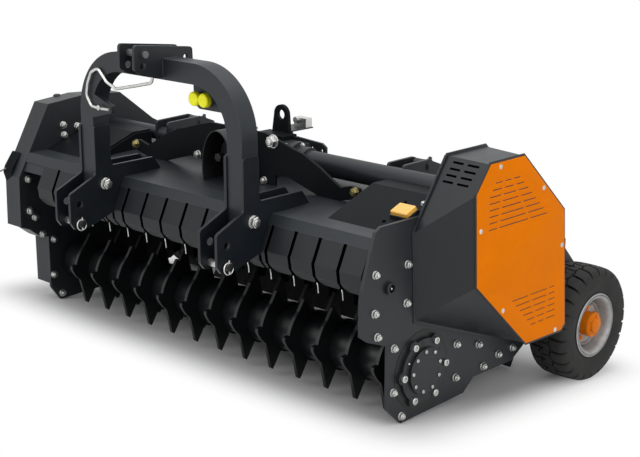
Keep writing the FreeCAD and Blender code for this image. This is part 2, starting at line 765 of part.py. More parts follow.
def rear_door():
    x1 = door_half_width()
    knuckle = tube_x(door_hinge_y, door_hinge_z, door_knuckle_radius, door_hinge_radius + running_clearance, -x1, x1)
    parts = [knuckle, sheet(door_line(), door_sheet, -x1, x1)]
    outline = [(door_hinge_y - 18, door_hinge_z + 8), (rod_pin_y - 20, rod_pin_z), (rod_pin_y - 10, rod_pin_z + 18),
               (rod_pin_y + 14, rod_pin_z + 16), (door_hinge_y + 60, door_hinge_z - 20),
               (door_hinge_y + 60, door_hinge_z - 52), (door_hinge_y + 18, door_hinge_z - 4)]
    for x in cylinder_places():
        for direction in (-1, 1):
            a = x + direction * lug_gap / 2
            b = a + direction * lug_plate
            lever = prism(outline, min(a, b), max(a, b), 6)
            for y, z, r in ((rod_pin_y, rod_pin_z, cylinder_pin_radius),
                            (door_hinge_y, door_hinge_z, door_hinge_radius + 4)):
                lever = lever.cut(rod_x(y, z, r, min(a, b) - 1, max(a, b) + 1))
            parts.append(lever)
    pins = [rod_x(rod_pin_y, rod_pin_z, cylinder_pin_radius, x - lug_gap / 2 - lug_plate - 6,
                  x + lug_gap / 2 + lug_plate + 6) for x in cylinder_places()]
    hinge = rod_x(door_hinge_y, door_hinge_z, door_hinge_radius, -half_width - side_plate, half_width + side_plate)
    return {"rear_door": fuse(parts), "door_pins": Part.makeCompound(pins), "door_hinge_pin": hinge}


def cylinder_places():
    return [headstock_x - lug_x, lug_x]


def cylinder_lugs():
    backs = [(cylinder_pin_y, cylinder_pin_z + 26), (cylinder_pin_y + 82, cylinder_pin_z - 6),
             (cylinder_pin_y + 90, 690)]
    right = [(tube_y + 14, 690), (tube_y + 14, cylinder_pin_z + 25)] + backs
    left = [(tube_y - 29, 690), (tube_y - 29, cylinder_pin_z + 20)] + backs
    tubes = [rod_x(tube_y, tube_z, tube_radius, 0, half_width),
             rod_x(tube_y, cross_tube_z, cross_tube_radius, -half_width, 0)]
    plates, pins = [], []
    for x in cylinder_places():
        for direction in (-1, 1):
            a = x + direction * lug_gap / 2
            b = a + direction * lug_plate
            outline = right if x > 0 else left
            plate = outside_housing(prism(outline, min(a, b), max(a, b), plate_corner)).cut(tubes)
            plates.append(plate.cut(rod_x(cylinder_pin_y, cylinder_pin_z, cylinder_pin_radius,
                                          min(a, b) - 1, max(a, b) + 1)))
        reach = lug_gap / 2 + lug_plate + 6
        pins.append(rod_x(cylinder_pin_y, cylinder_pin_z, cylinder_pin_radius, x - reach, x + reach))
    return {"cylinder_lugs": Part.makeCompound(plates), "cylinder_pins": Part.makeCompound(pins)}


def cylinders():
    """Each lies from its frame pin to its rod pin, drawn along +Y and turned into line."""
    dy, dz = rod_pin_y - cylinder_pin_y, rod_pin_z - cylinder_pin_z
    length = math.hypot(dy, dz)
    turn = math.degrees(math.atan2(dz, dy))
    barrels, rods = [], []
    for x in cylinder_places():
        w = eye_width / 2
        eye = rod_x(0, 0, eye_radius, x - w, x + w)
        bore = rod_x(0, 0, cylinder_pin_radius + pin_clearance, x - w - 1, x + w + 1)
        barrel = rod_y(x, 0, barrel_radius, eye_radius - 4, barrel_length)
        inside = rod_y(x, 0, rod_radius + running_clearance, eye_radius + 10, barrel_length + 1)
        barrels.append(fuse([eye, barrel]).cut(bore).cut(inside))
        rod = rod_y(x, 0, rod_radius, barrel_length / 2, length - eye_radius + 4)
        rod_eye = rod_x(length, 0, eye_radius, x - w, x + w)
        rod_bore = rod_x(length, 0, cylinder_pin_radius + open_pivot, x - w - 1, x + w + 1)
        rods.append(fuse([rod, rod_eye]).cut(rod_bore))
    out = {"door_cylinder_barrels": Part.makeCompound(barrels), "door_cylinder_rods": Part.makeCompound(rods)}
    for shape in out.values():
        shape.rotate(V(0, 0, 0), V(1, 0, 0), turn)
        shape.translate(V(0, cylinder_pin_y, cylinder_pin_z))
    return out


# Wheels

def wheel_parts(sign):
    x_in = half_width + side_plate + wheel_gap
    x_out = x_in + tyre_width
    shoulder = 22.0
    profile = [(x_in + 14, rim_radius), (x_in, rim_radius + 30), (x_in, tyre_radius - shoulder),
               (x_in + shoulder, tyre_radius), (x_out - shoulder, tyre_radius), (x_out, tyre_radius - shoulder),
               (x_out, rim_radius + 30), (x_out - 14, rim_radius)]
    corners = [V(x, 0, r) for x, r in profile]
    face = Part.Face(Part.makePolygon(corners + [corners[0]]))
    tyre = face.revolve(V(0, 0, 0), V(1, 0, 0), 360)
    mid = (x_in + x_out) / 2
    rim = tube_x(0, 0, rim_radius, rim_radius - rim_lip, x_in + 14, x_out - 14)
    disc = rod_x(0, 0, rim_radius - rim_lip, mid + 10, mid + 20)
    disc = disc.cut(rod_x(0, 0, hub_radius, mid, mid + 30))
    hub = rod_x(0, 0, hub_radius, mid - 45, mid + 62)
    hub = hub.cut(rod_x(0, 0, axle_radius + running_clearance, mid - 46, mid + 45))
    axle = rod_x(0, 0, axle_radius, half_width - sleeve_outer() - leg_size / 2, mid + 40)
    out = {"tyre": tyre, "rim": fuse([rim, disc]), "hub": hub, "stub_axle": axle}
    for shape in out.values():
        shape.translate(V(0, wheel_y, wheel_z))
    if sign < 0:
        out = {name: mirror_x(shape) for name, shape in out.items()}
    return out


def wheels():
    nodes = {}
    for side, sign in (("left", -1), ("right", 1)):
        for name, shape in wheel_parts(sign).items():
            nodes[name + "_" + side] = shape
    return nodes


def sleeve_outer():
    """Half the outside of the square sleeve that each wheel leg slides in."""
    return leg_size / 2 + slide_clearance + sleeve_wall


def corner_x():
    """Inner face of the closed rear corners, which the door swings between."""
    return half_width - 2 * sleeve_outer() - corner_sheet


def legs():
    nodes = {}
    h = leg_size / 2
    s = h + slide_clearance
    o = sleeve_outer()
    x = half_width - o
    inner, outer = corner_x(), corner_x() + corner_sheet
    cheek_line = door_line()[:-1] + [(930, 240), (850, 250), (838, 300), (838, 560)]
    for side, sign in (("left", -1), ("right", 1)):
        leg = box(x - h, x + h, wheel_y - h, wheel_y + h, wheel_z - h, leg_top)
        leg = leg.cut(rod_x(wheel_y, wheel_z, axle_radius, x - h - 1, x + h + 1))
        sleeve = box(x - o, x + o, wheel_y - o, wheel_y + o, sleeve_low, sleeve_high)
        web = box(outer, half_width, 838, 838 + corner_sheet, 250, 560)
        sleeve = fuse([sleeve, prism(cheek_line, inner, outer), web])
        sleeve = sleeve.cut(box(x - s, x + s, wheel_y - s, wheel_y + s, sleeve_low - 1, sleeve_high + 1))
        for name, shape in (("wheel_leg", leg), ("wheel_bracket", sleeve)):
            nodes[name + "_" + side] = shape if sign > 0 else mirror_x(shape)
    return nodes


# Parking: skid corners and tyres on the ground, then the box centred over the origin

def park_pitch():
    """Angle that brings the tyres level with the skid corners."""
    reach = math.hypot(wheel_y, wheel_z)
    return math.asin(tyre_radius / reach) - math.atan2(wheel_z, wheel_y)


def park(shape, shift_y):
    out = shape.copy()
    out.rotate(V(0, 0, 0), V(1, 0, 0), math.degrees(park_pitch()))
    out.translate(V(0, shift_y, 0))
    return out


def build():
    nodes = {}
    for group in (side_plates, hood, front_beam, front_flaps, arch, hitch_plates, top_link, shaft_hook, couplers,
                  gearbox, gearbox_arms, pto, drive_tubes, back_plate, lifting_eye, valve_block, ramps, lamp,
                  drive_cover, left_cover, feed_rotor, feed_bearing, main_rotor, rear_door, cylinder_lugs,
                  cylinders, wheels, legs):
        nodes.update(group())
    return nodes


os.makedirs("parts", exist_ok=True)
level_nodes = build()
parked = {name: park(shape, 0) for name, shape in level_nodes.items()}
front = min(shape.BoundBox.YMin for shape in parked.values())
back = max(shape.BoundBox.YMax for shape in parked.values())
for name, shape in parked.items():
    shape.translate(V(0, -(front + back) / 2, 0))
    shape.exportStep("parts/" + name + ".step")
print("pitch", round(math.degrees(park_pitch()), 3), "shift", round(-(front + back) / 2, 2), len(parked), "nodes")
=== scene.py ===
import json
import math

import bmesh
import bpy
from mathutils import Matrix, Vector
from mathutils.bvhtree import BVHTree


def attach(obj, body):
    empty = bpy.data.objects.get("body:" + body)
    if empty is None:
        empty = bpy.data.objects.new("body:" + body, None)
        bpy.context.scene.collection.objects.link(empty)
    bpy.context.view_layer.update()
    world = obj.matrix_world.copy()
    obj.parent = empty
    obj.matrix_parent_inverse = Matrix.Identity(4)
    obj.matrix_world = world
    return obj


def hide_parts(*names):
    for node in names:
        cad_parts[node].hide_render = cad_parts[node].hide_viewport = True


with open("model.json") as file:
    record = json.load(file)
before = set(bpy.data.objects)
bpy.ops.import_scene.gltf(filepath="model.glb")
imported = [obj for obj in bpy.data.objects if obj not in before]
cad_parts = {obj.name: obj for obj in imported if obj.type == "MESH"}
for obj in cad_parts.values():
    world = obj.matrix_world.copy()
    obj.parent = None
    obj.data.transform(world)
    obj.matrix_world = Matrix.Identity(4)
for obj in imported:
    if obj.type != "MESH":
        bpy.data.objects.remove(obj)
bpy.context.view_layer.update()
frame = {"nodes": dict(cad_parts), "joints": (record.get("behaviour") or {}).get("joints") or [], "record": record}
nodes = frame["nodes"]
joints = {j["name"]: j for j in frame["joints"]}
slotOf = {p["node"]: p["material_slot"] for p in frame["record"]["subparts"]}
print("frame loaded:", len(nodes), "nodes")

# The machine's own axes in metres: x to the right, y back from the front skid corner, z up.
# It is parked with its tail a little raised, so the whole machine is turned by that pitch.
legAxis = joints["leg_right_slide"]["axis"]
pitch = math.atan2(-legAxis[1], legAxis[2])
rotorAxis = {"back": 0.523, "up": 0.357}
machine = (Matrix.Translation(Vector(joints["main_rotor_spin"]["pos_m"])) @ Matrix.Rotation(pitch, 4, "X")
           @ Matrix.Translation(Vector((0, -rotorAxis["back"], -rotorAxis["up"]))))
toMachine = machine.inverted()
right, back, up = Vector((1, 0, 0)), Vector((0, 1, 0)), Vector((0, 0, 1))
plate = 0.012                # side plates
halfWidth = 1.0              # inside faces of the side plates


def machinePoints(node):
    return [toMachine @ v.co for v in nodes[node].data.vertices]


def machineBox(node):
    # lowest and highest corner
    points = machinePoints(node)
    return [Vector([pick(p[i] for p in points) for i in range(3)]) for pick in (min, max)]


def jointPlace(name):
    return toMachine @ Vector(joints[name]["pos_m"])


# Effects that several finishes share

def newGroup(name, inputs, outputs):
    group = bpy.data.node_groups.new(name, "ShaderNodeTree")
    for label, value in inputs.items():
        socket = group.interface.new_socket(name=label, in_out="INPUT", socket_type="NodeSocketFloat")
        socket.default_value = value
    for label, kind in outputs.items():
        group.interface.new_socket(name=label, in_out="OUTPUT", socket_type="NodeSocket" + kind)
    return group, group.nodes.new("NodeGroupInput").outputs, group.nodes.new("NodeGroupOutput").inputs


def addNode(tree, kind, settings=None, **inputs):
    # an input given as i0, i1 and so on is taken by its number
    node = tree.nodes.new("ShaderNode" + kind)
    for label, value in (settings or {}).items():
        setattr(node, label, value)
    for label, value in inputs.items():
        numbered = label[0] == "i" and label[1:].isdigit()
        socket = node.inputs[int(label[1:]) if numbered else label]
        if isinstance(value, bpy.types.NodeSocket):
            tree.links.new(value, socket)
        else:
            socket.default_value = value
    return node


def reckon(tree, operation, *values, kind="Math", clamp=False):
    settings = {"operation": operation, "use_clamp": True} if clamp else {"operation": operation}
    node = addNode(tree, kind, settings, **{f"i{k}": value for k, value in enumerate(values)})
    return node.outputs["Value" if operation in ("DOT_PRODUCT", "LENGTH") else 0]


# Edges lighter than the face, broken up by noise: partly wear and partly a painted highlight where the edges catch
# the light
def makeEdgeGroup():
    group, given, out = newGroup("edgeWearAndHighlight", {"Radius": 0.0015, "Contrast": 6.0, "Breaks": 40.0},
                                 {"Edge": "Float", "Normal": "Vector"})
    rounded = addNode(group, "Bevel", {"samples": 6}, Radius=given["Radius"])
    flat = addNode(group, "NewGeometry")
    facing = reckon(group, "DOT_PRODUCT", rounded.outputs[0], flat.outputs["Normal"], kind="VectorMath")
    bend = reckon(group, "SUBTRACT", 1.0, facing)
    place = addNode(group, "TexCoord")
    spots = addNode(group, "TexNoise", Vector=place.outputs["Object"], Scale=given["Breaks"], Detail=3.0)
    wornAndLit = reckon(group, "MULTIPLY", bend, spots.outputs["Fac"])
    group.links.new(reckon(group, "MULTIPLY", wornAndLit, given["Contrast"], clamp=True), out["Edge"])
    group.links.new(rounded.outputs[0], out["Normal"])
    return group


def makeSurfaceGroup():
    group, given, out = newGroup("surfaceVariation", {"Scale": 6.0, "Grain": 700.0},
                                 {"Mottle": "Float", "Peel": "Float"})
    place = addNode(group, "TexCoord")
    broad = addNode(group, "TexNoise", Vector=place.outputs["Object"], Scale=given["Scale"], Detail=5.0,
                    Roughness=0.6)
    mottle = addNode(group, "MapRange", i0=broad.outputs["Fac"], i1=0.3, i2=0.7)
    fine = addNode(group, "TexNoise", Vector=place.outputs["Object"], Scale=given["Grain"], Detail=2.0)
    group.links.new(mottle.outputs[0], out["Mottle"])
    group.links.new(fine.outputs["Fac"], out["Peel"])
    return group


edgeGroup = makeEdgeGroup()
surfaceGroup = makeSurfaceGroup()

# each paint's edge colour is what its edges are lightened to: wear and painted highlight
paints = {
    "black_steel": {"colour": (0.013, 0.0155, 0.0185), "edge": (0.09, 0.1, 0.11), "rough": 0.42},
    # ramp_black: the black steel made darker, painted shade and painted dark reflection on the arms, ramps,
    # lifting eye and latch
    "ramp_black": {"colour": (0.005, 0.0064, 0.0078), "edge": (0.06, 0.066, 0.07), "rough": 0.5,
                   "specular": 0.07},
    # gap_black: flat black without shine, painted shade for the dark inside slits, vents and holes
    "gap_black": {"colour": (0.0006, 0.0006, 0.0007), "edge": (0.0006, 0.0006, 0.0007), "rough": 0.9,
                  "specular": 0.0},
    "hitch_black": {"colour": (0.0065, 0.009, 0.0125), "edge": (0.1, 0.11, 0.12), "rough": 0.38},
    "grey_steel": {"colour": (0.0145, 0.0188, 0.0222), "edge": (0.12, 0.13, 0.14), "rough": 0.45},
    "flap_steel": {"colour": (0.0115, 0.0142, 0.0165), "edge": (0.1, 0.11, 0.12), "rough": 0.45,
                   "specular": 0.25},
    # rotor_steel: near black, painted shade for the rotors that sit in the shade under the hood
    "rotor_steel": {"colour": (0.006, 0.007, 0.008), "edge": (0.05, 0.055, 0.06), "rough": 0.32},
    "orange_panel": {"colour": (0.83, 0.2, 0.0), "edge": (0.85, 0.3, 0.03), "rough": 0.5,
                     "specular": 0.04, "vary": 0.035},
    "orange_hub": {"colour": (0.68, 0.17, 0.0), "edge": (0.8, 0.3, 0.05), "rough": 0.42, "specular": 0.15},
}
metals = {
    "rim_silver": {"colour": (0.4, 0.4, 0.395), "rough": 0.5, "metallic": 0.6},
    "bright_steel": {"colour": (0.66, 0.66, 0.64), "rough": 0.3, "metallic": 1.0},
    "chrome_rod": {"colour": (0.78, 0.78, 0.79), "rough": 0.12, "metallic": 1.0},
    "yellow_zinc": {"colour": (0.36, 0.3, 0.13), "rough": 0.32, "metallic": 0.9},
    "dull_zinc": {"colour": (0.2, 0.2, 0.2), "rough": 0.45, "metallic": 0.8},
    "greased_steel": {"colour": (0.035, 0.035, 0.036), "rough": 0.35, "metallic": 0.8},
}
plastics = {
    "guard_plastic": {"colour": (0.0045, 0.0045, 0.005), "rough": 0.55},
    "yellow_cap": {"colour": (1.0, 0.97, 0.0), "rough": 0.45},
}
rubbers = {"tyre": {"colour": (0.017, 0.017, 0.017), "dust": (0.05, 0.048, 0.045), "rough": 0.78}}
# the lens's pale bands are a painted highlight along its ribs
lenses = {"lamp_amber": {"colour": (0.85, 0.3, 0.01), "pale": (1.0, 0.68, 0.14), "rough": 0.12}}


def startMaterial(name):
    material = bpy.data.materials.new(name)
    material.use_nodes = True
    return material, material.node_tree, material.node_tree.nodes["Principled BSDF"]


def useGroup(tree, group, **values):
    node = tree.nodes.new("ShaderNodeGroup")
    node.node_tree = group
    for label, value in values.items():
        node.inputs[label].default_value = value
    return node.outputs


def mixColour(tree, factor, first, second):
    first, second = [c if isinstance(c, bpy.types.NodeSocket) else (*c, 1) for c in (first, second)]
    return addNode(tree, "Mix", {"data_type": "RGBA"}, i0=factor, i6=first, i7=second).outputs[2]


def ranged(tree, source, low, high):
    return addNode(tree, "MapRange", i0=source, i3=low, i4=high).outputs[0]


def bumped(tree, shader, height, strength, distance, normal=None):
    bump = addNode(tree, "Bump", Strength=strength, Distance=distance, Height=height)
    if normal is not None:
        tree.links.new(normal, bump.inputs["Normal"])
    tree.links.new(bump.outputs[0], shader.inputs["Normal"])


def paintFinish(name, look):
    material, tree, shader = startMaterial(name)
    wearAndHighlight = useGroup(tree, edgeGroup, Contrast=5.0)
    surface = useGroup(tree, surfaceGroup)
    vary = look.get("vary", 0.1)
    dark = [c * (1 - vary) for c in look["colour"]]
    light = [c * (1 + vary) for c in look["colour"]]
    body = mixColour(tree, surface["Mottle"], dark, light)
    # edges lightened to the edge colour: wear and painted highlight
    tree.links.new(mixColour(tree, wearAndHighlight["Edge"], body, look["edge"]), shader.inputs["Base Color"])
    tree.links.new(ranged(tree, surface["Mottle"], look["rough"] - 0.04, look["rough"] + 0.05),
                   shader.inputs["Roughness"])
    shader.inputs["Specular IOR Level"].default_value = look.get("specular", 0.35)
    bumped(tree, shader, surface["Peel"], 0.12, 0.0004, wearAndHighlight["Normal"])
    return material


def metalFinish(name, look):
    material, tree, shader = startMaterial(name)
    wearAndHighlight = useGroup(tree, edgeGroup, Radius=0.0008)
    surface = useGroup(tree, surfaceGroup, Scale=30.0, Grain=1500.0)
    dull = [c * 0.75 for c in look["colour"]]
    tree.links.new(mixColour(tree, surface["Mottle"], dull, look["colour"]), shader.inputs["Base Color"])
    tree.links.new(ranged(tree, surface["Mottle"], look["rough"] + 0.1, look["rough"]),
                   shader.inputs["Roughness"])
    shader.inputs["Metallic"].default_value = look["metallic"]
    bumped(tree, shader, surface["Peel"], 0.1, 0.0002, wearAndHighlight["Normal"])
    return material


def rubberFinish(name, look):
    material, tree, shader = startMaterial(name)
    wearAndHighlight = useGroup(tree, edgeGroup, Radius=0.002)
    surface = useGroup(tree, surfaceGroup, Scale=18.0, Grain=900.0)
    faded = mixColour(tree, ranged(tree, surface["Mottle"], 0.0, 0.35), look["colour"], look["dust"])
    # edges lightened to the dust colour: dust and painted highlight
    tree.links.new(mixColour(tree, wearAndHighlight["Edge"], faded, look["dust"]), shader.inputs["Base Color"])
    shader.inputs["Roughness"].default_value = look["rough"]
    shader.inputs["Specular IOR Level"].default_value = 0.3
    bumped(tree, shader, surface["Peel"], 0.25, 0.0006, wearAndHighlight["Normal"])
    return material


def plasticFinish(name, look):
    material, tree, shader = startMaterial(name)
    surface = useGroup(tree, surfaceGroup, Scale=20.0, Grain=1800.0)
    pale = [min(1.0, c * 1.15 + 0.002) for c in look["colour"]]
    tree.links.new(mixColour(tree, surface["Mottle"], look["colour"], pale), shader.inputs["Base Color"])
    shader.inputs["Roughness"].default_value = look["rough"]
    bumped(tree, shader, surface["Peel"], 0.15, 0.0003)
    return material


def lensFinish(name, look):
    material, tree, shader = startMaterial(name)
    place = addNode(tree, "TexCoord")
    ribs = addNode(tree, "TexWave", {"bands_direction": "X"}, Vector=place.outputs["Object"], Scale=60.0)
    # pale bands along the ribs: painted highlight on the lens
    ribGlints = mixColour(tree, ribs.outputs["Fac"], look["colour"], look["pale"])
    tree.links.new(ribGlints, shader.inputs["Base Color"])
    shader.inputs["Roughness"].default_value = look["rough"]
    shader.inputs["Coat Weight"].default_value = 0.5
    bumped(tree, shader, ribs.outputs["Fac"], 0.3, 0.001)
    return material


materials = {}
for make, looks in ((paintFinish, paints), (metalFinish, metals), (plasticFinish, plastics),
                    (rubberFinish, rubbers), (lensFinish, lenses)):
    for name, look in looks.items():
        materials[name] = make(name, look)

# the arms, ramps and lifting eye take the darker black as painted shade
ownFinish = {
    "gearbox_arms": "ramp_black", "ramps": "ramp_black", "lifting_eye": "ramp_black",
    "pto_stub": "greased_steel", "cylinder_pins": "black_steel", "top_link_pin": "dull_zinc",
}

for name, node in nodes.items():
    for materialSlot in node.material_slots:
        materialSlot.material = materials[ownFinish.get(name, slotOf[name])]
print("finishes on the frame done")


# Shapes that many pieces are made of

def pieceFrom(bm, name, slot, finish=None, body="frame", smooth=35, stands=()):
    bmesh.ops.recalc_face_normals(bm, faces=bm.faces)
    bm.transform(machine)
    mesh = bpy.data.meshes.new(name)
    bm.to_mesh(mesh)
    bm.free()
    mesh.shade_smooth()
    mesh.set_sharp_from_angle(angle=math.radians(smooth))
    mesh.materials.append(materials[finish or slot])
    piece = bpy.data.objects.new(name, mesh)
    bpy.context.scene.collection.objects.link(piece)
    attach(piece, body)
    if stands:
        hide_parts(*stands)
    return piece


def turned(bm, profile, centre, axis, steps=24, start=0.0):
    axis = axis.normalized()
    side = up.cross(axis) if abs(axis.z) < 0.9 else right.cross(axis)
    side.normalize()
    other = axis.cross(side)
    rings = []
    for along, radius in profile:
        middle = centre + axis * along
        if radius < 1e-6:
            rings.append([bm.verts.new(middle)] * steps)
            continue
        turns = [start + 2 * math.pi * i / steps for i in range(steps)]
        rings.append([bm.verts.new(middle + (side * math.cos(t) + other * math.sin(t)) * radius)
                      for t in turns])
    for lower, upper in zip(rings, rings[1:]):
        for i in range(steps):
            j = (i + 1) % steps
            corners = []
            for v in (lower[i], lower[j], upper[j], upper[i]):
                if v not in corners:
                    corners.append(v)
            if len(corners) > 2:
                bm.faces.new(corners)


def turnedPiece(name, slot, profile, place, axis, steps):
    bm = bmesh.new()
    turned(bm, profile, place, axis, steps)
    pieceFrom(bm, name, slot)


def addBolt(bm, place, axis, size, stud=0.0):
    # size is the bolt's nominal diameter, and the washer and the hexagon head follow from it
    base = size * 0.18
    turned(bm, [(0, 0), (0, size), (base * 0.8, size), (base, size * 0.95), (base, 0)], place, axis)
    corner, high = size * 0.87, size * 0.68
    turned(bm, [(base, 0), (base, corner), (base + high * 0.85, corner), (base + high, corner * 0.88),
                (base + high, 0)], place, axis, 6, 0.2)
    if stud:
        top = base + high
        turned(bm, [(top - 0.001, 0), (top - 0.001, size * 0.5), (top + stud - 0.001, size * 0.5),
                    (top + stud, size * 0.42), (top + stud, 0)], place, axis, 16)


def addSocketScrew(bm, place, axis, size):
    turned(bm, [(0, 0), (0, size * 0.75), (size * 0.5, size * 0.75), (size * 0.6, size * 0.65),
                (size * 0.6, size * 0.4), (size * 0.3, size * 0.4), (size * 0.3, 0)], place, axis, 18)


def addWasher(bm, place, axis, bore, outer, thick, lift=0.0003, steps=28):
    turned(bm, [(lift, bore), (lift, outer), (thick, outer), (thick, bore)], place, axis, steps)


def pointed(line, way):
    # a line turned about, if need be, so that it goes the way asked for
    return line if line.dot(way) >= 0 else -line


def onCircle(centre, reach, turn):
    # point on a circle round a line that runs across the machine
    return centre + Vector((0, reach * math.cos(turn), reach * math.sin(turn)))


def bridge(bm, rings):
    # skin from each ring of corners to the next, and a face over either end
    for lower, upper in zip(rings, rings[1:]):
        for k in range(len(lower)):
            m = (k + 1) % len(lower)
            bm.faces.new((lower[k], lower[m], upper[m], upper[k]))
    bm.faces.new(rings[0])
    bm.faces.new(rings[-1])


def addStrip(bm, x, wide, thick, line):
    # a strip that reaches from x across the machine and goes down through the line's points
    corners = ((0, 0), (wide, 0), (wide, thick), (0, thick))
    bridge(bm, [[bm.verts.new(Vector((x + a, y + b, z))) for a, b in corners] for y, z in line])


def barRings(points, radius, steps):
    # a ring of corners round each point of a bar, all turned the same way
    for i, point in enumerate(points):
        ahead = (points[min(i + 1, len(points) - 1)] - points[max(i - 1, 0)]).normalized()
        side = ahead.cross(back if abs(ahead.y) < 0.9 else up).normalized()
        other = ahead.cross(side)
        size = radius(i) if callable(radius) else radius
        yield [point + (side * math.cos(t) + other * math.sin(t)) * size
               for t in [2 * math.pi * k / steps for k in range(steps)]]


def addBar(bm, points, radius, steps=8):
    bridge(bm, [[bm.verts.new(v) for v in ring] for ring in barRings(points, radius, steps)])


def addRing(bm, centre, axis, radius, bar):
    profile = [(bar * math.sin(t), radius + bar * math.cos(t)) for t in [math.pi * k / 4 for k in range(9)]]
    turned(bm, profile, centre, axis)


def addWeld(bm, start, end, size):
    # a bead with a ripple every few millimetres
    count = max(2, int((end - start).length / 0.004))
    points = [start.lerp(end, k / count) for k in range(count + 1)]
    addBar(bm, points, lambda i: size * (1.0 if i % 2 else 0.82), 6)


print("shapes ready")

# Tyres with block tread

# steps are where the rows of corners lie within one pitch, and the two cuts are those in a groove
tyreLook = {
    "radius": 0.2278, "halfWidth": 0.085, "rim": 0.104, "pitches": 26, "depth": 0.013, "zigzag": 0.007,
    "slant": 0.05, "steps": (0.0, 0.035, 0.16, 0.195, 0.34, 0.5, 0.535, 0.63, 0.665, 0.83),
    "shoulderCut": (0.035, 0.16), "ribCut": (0.535, 0.63), "rib": 0.018, "ribDepth": 0.75,
    "ribGroove": (0.012, 0.03),
}


def tyreStations(look):
    # (across, radius, how deep a groove is cut there, how strong the zigzag is)
    w, r, d = look["halfWidth"], look["radius"], look["depth"]
    shoulder = [(0.030, r - 0.0006, 1, 0.6), (0.044, r - 0.0012, 1, 0.3), (0.062, r - 0.003, 1, 0),
                (0.072, r - 0.007, 1, 0), (0.0785, r - 0.014, 0.9, 0), (0.0825, r - 0.024, 0.7, 0)]
    wall = [(0.0838, r - 0.034, 0, 0), (w, r - 0.046, 0, 0), (w, r - 0.062, 0, 0), (0.083, r - 0.08, 0, 0),
            (0.078, r - 0.098, 0, 0), (0.0735, look["rim"] + 0.012, 0, 0),
            (0.072, look["rim"] + 0.004, 0, 0), (0.064, look["rim"], 0, 0)]
    groove = [(0.0185, r, 1, 1), (0.0205, r - d, 0, 1), (0.0255, r - d, 0, 1), (0.0275, r - 0.0005, 1, 0.8)]
    rib = [(0.0, r, 1, 1), (0.009, r, 1, 1)]
    side = rib + groove + shoulder + wall
    return [(-a, b, c, z) for a, b, c, z in reversed(side[1:])] + side


def makeTyre(name, hub, body, node):
    look = tyreLook
    bm = bmesh.new()
    stations = tyreStations(look)
    deep, wide = look["ribGroove"]
    rings = []
    for k in range(look["pitches"]):
        for step in look["steps"]:
            ring = []
            wave = abs(((step * 2) % 2) - 1) * 2 - 1
            for across, radius, cut, zigzag in stations:
                onRib = abs(across) < look["rib"]
                inGroove = radius < look["radius"] - deep and abs(across) < wide
                if step in look["ribCut" if onRib else "shoulderCut"] and not inGroove:
                    radius -= cut * look["depth"] * (look["ribDepth"] if onRib else 1)
                lean = look["slant"] * (abs(across) / look["halfWidth"]) * (1 if across > 0 else -1)
                turn = 2 * math.pi * (k + step) / look["pitches"] + lean
                shifted = hub + right * (across + look["zigzag"] * zigzag * wave)
                ring.append(bm.verts.new(onCircle(shifted, radius, turn)))
            rings.append(ring)
    for i, ring in enumerate(rings):
        after = rings[(i + 1) % len(rings)]
        for j in range(len(stations)):
            m = (j + 1) % len(stations)
            bm.faces.new((ring[j], ring[m], after[m], after[j]))
    pieceFrom(bm, name, "tyre", body=body, smooth=28, stands=(node,))


for side in ("left", "right"):
    makeTyre(f"tread_tyre_{side}", jointPlace(f"wheel_{side}_spin"), f"wheel_{side}", f"tyre_{side}")
print("tyres done")

# Pressed rims with nuts, and the orange hub's bearing cap

rimLook = {
    "lip": 0.0035, "plate": 0.006, "nuts": 5, "nutCircle": 0.0645, "nut": 0.013, "stud": 0.004,
    "nutFace": 0.034, "nutTurn": 0.25, "valveTilt": 0.35,
    "well": [(0.0, 0.090), (0.030, 0.090), (0.046, 0.097), (0.060, 0.100), (0.072, 0.1035),
        (0.0795, 0.108), (0.0835, 0.1145), (0.0835, 0.120), (0.0805, 0.1235)],
    "disc": [(0.024, 0.091), (0.044, 0.088), (0.047, 0.083), (0.036, 0.076), (0.033, 0.054),
        (0.036, 0.047)],
    "valve": [(0, 0), (0, 0.005), (0.012, 0.004), (0.012, 0.003), (0.026, 0.003), (0.026, 0)],
    "valvePlace": (0.036, 0.085),
    "cap": [(-0.001, 0.045), (0.003, 0.043), (0.004, 0.031), (0.013, 0.029), (0.016, 0.023), (0.017, 0)],
    "capScrew": [(0, 0.0055), (0.0065, 0.0055), (0.0075, 0.0045), (0.0075, 0)], "capCircle": 0.0375,
}


def makeRim(side, sign):
    look = rimLook
    hub = jointPlace(f"wheel_{side}_spin")
    out = right * sign
    bm = bmesh.new()
    inner = [(-a, r) for a, r in reversed(look["well"][1:])] + look["well"]
    outer = [(a, r + look["lip"]) for a, r in reversed(inner)]
    turned(bm, inner + outer + inner[:1], hub, out, 72)
    disc = look["disc"]
    turned(bm, disc + [(a - look["plate"], r) for a, r in reversed(disc)] + disc[:1], hub, out, 72)
    along, above = look["valvePlace"]
    turned(bm, look["valve"], hub + out * along + up * above, out - up * look["valveTilt"], 12)
    pieceFrom(bm, f"pressed_rim_{side}", "rim_silver", body=f"wheel_{side}", stands=(f"rim_{side}",))
    bm = bmesh.new()
    for k in range(look["nuts"]):
        turn = 2 * math.pi * (k + look["nutTurn"]) / look["nuts"]
        spot = onCircle(hub + out * look["nutFace"], look["nutCircle"], turn)
        addBolt(bm, spot, out, look["nut"], look["stud"])
    pieceFrom(bm, f"wheel_nuts_{side}", "orange_hub", body=f"wheel_{side}")
    bm = bmesh.new()
    face = out * abs(machineBox(f"hub_{side}")[1 if sign > 0 else 0].x - hub.x)
    turned(bm, look["cap"], hub + face, out, 40)
    for k in range(look["nuts"]):
        turn = 2 * math.pi * k / look["nuts"]
        turned(bm, look["capScrew"], onCircle(hub + face, look["capCircle"], turn), out, 6)
    pieceFrom(bm, f"hub_cap_{side}", "orange_hub", body=f"wheel_{side}")


makeRim("left", -1)
makeRim("right", 1)
print("rims done")

# The orange panel with its two groups of vent slots

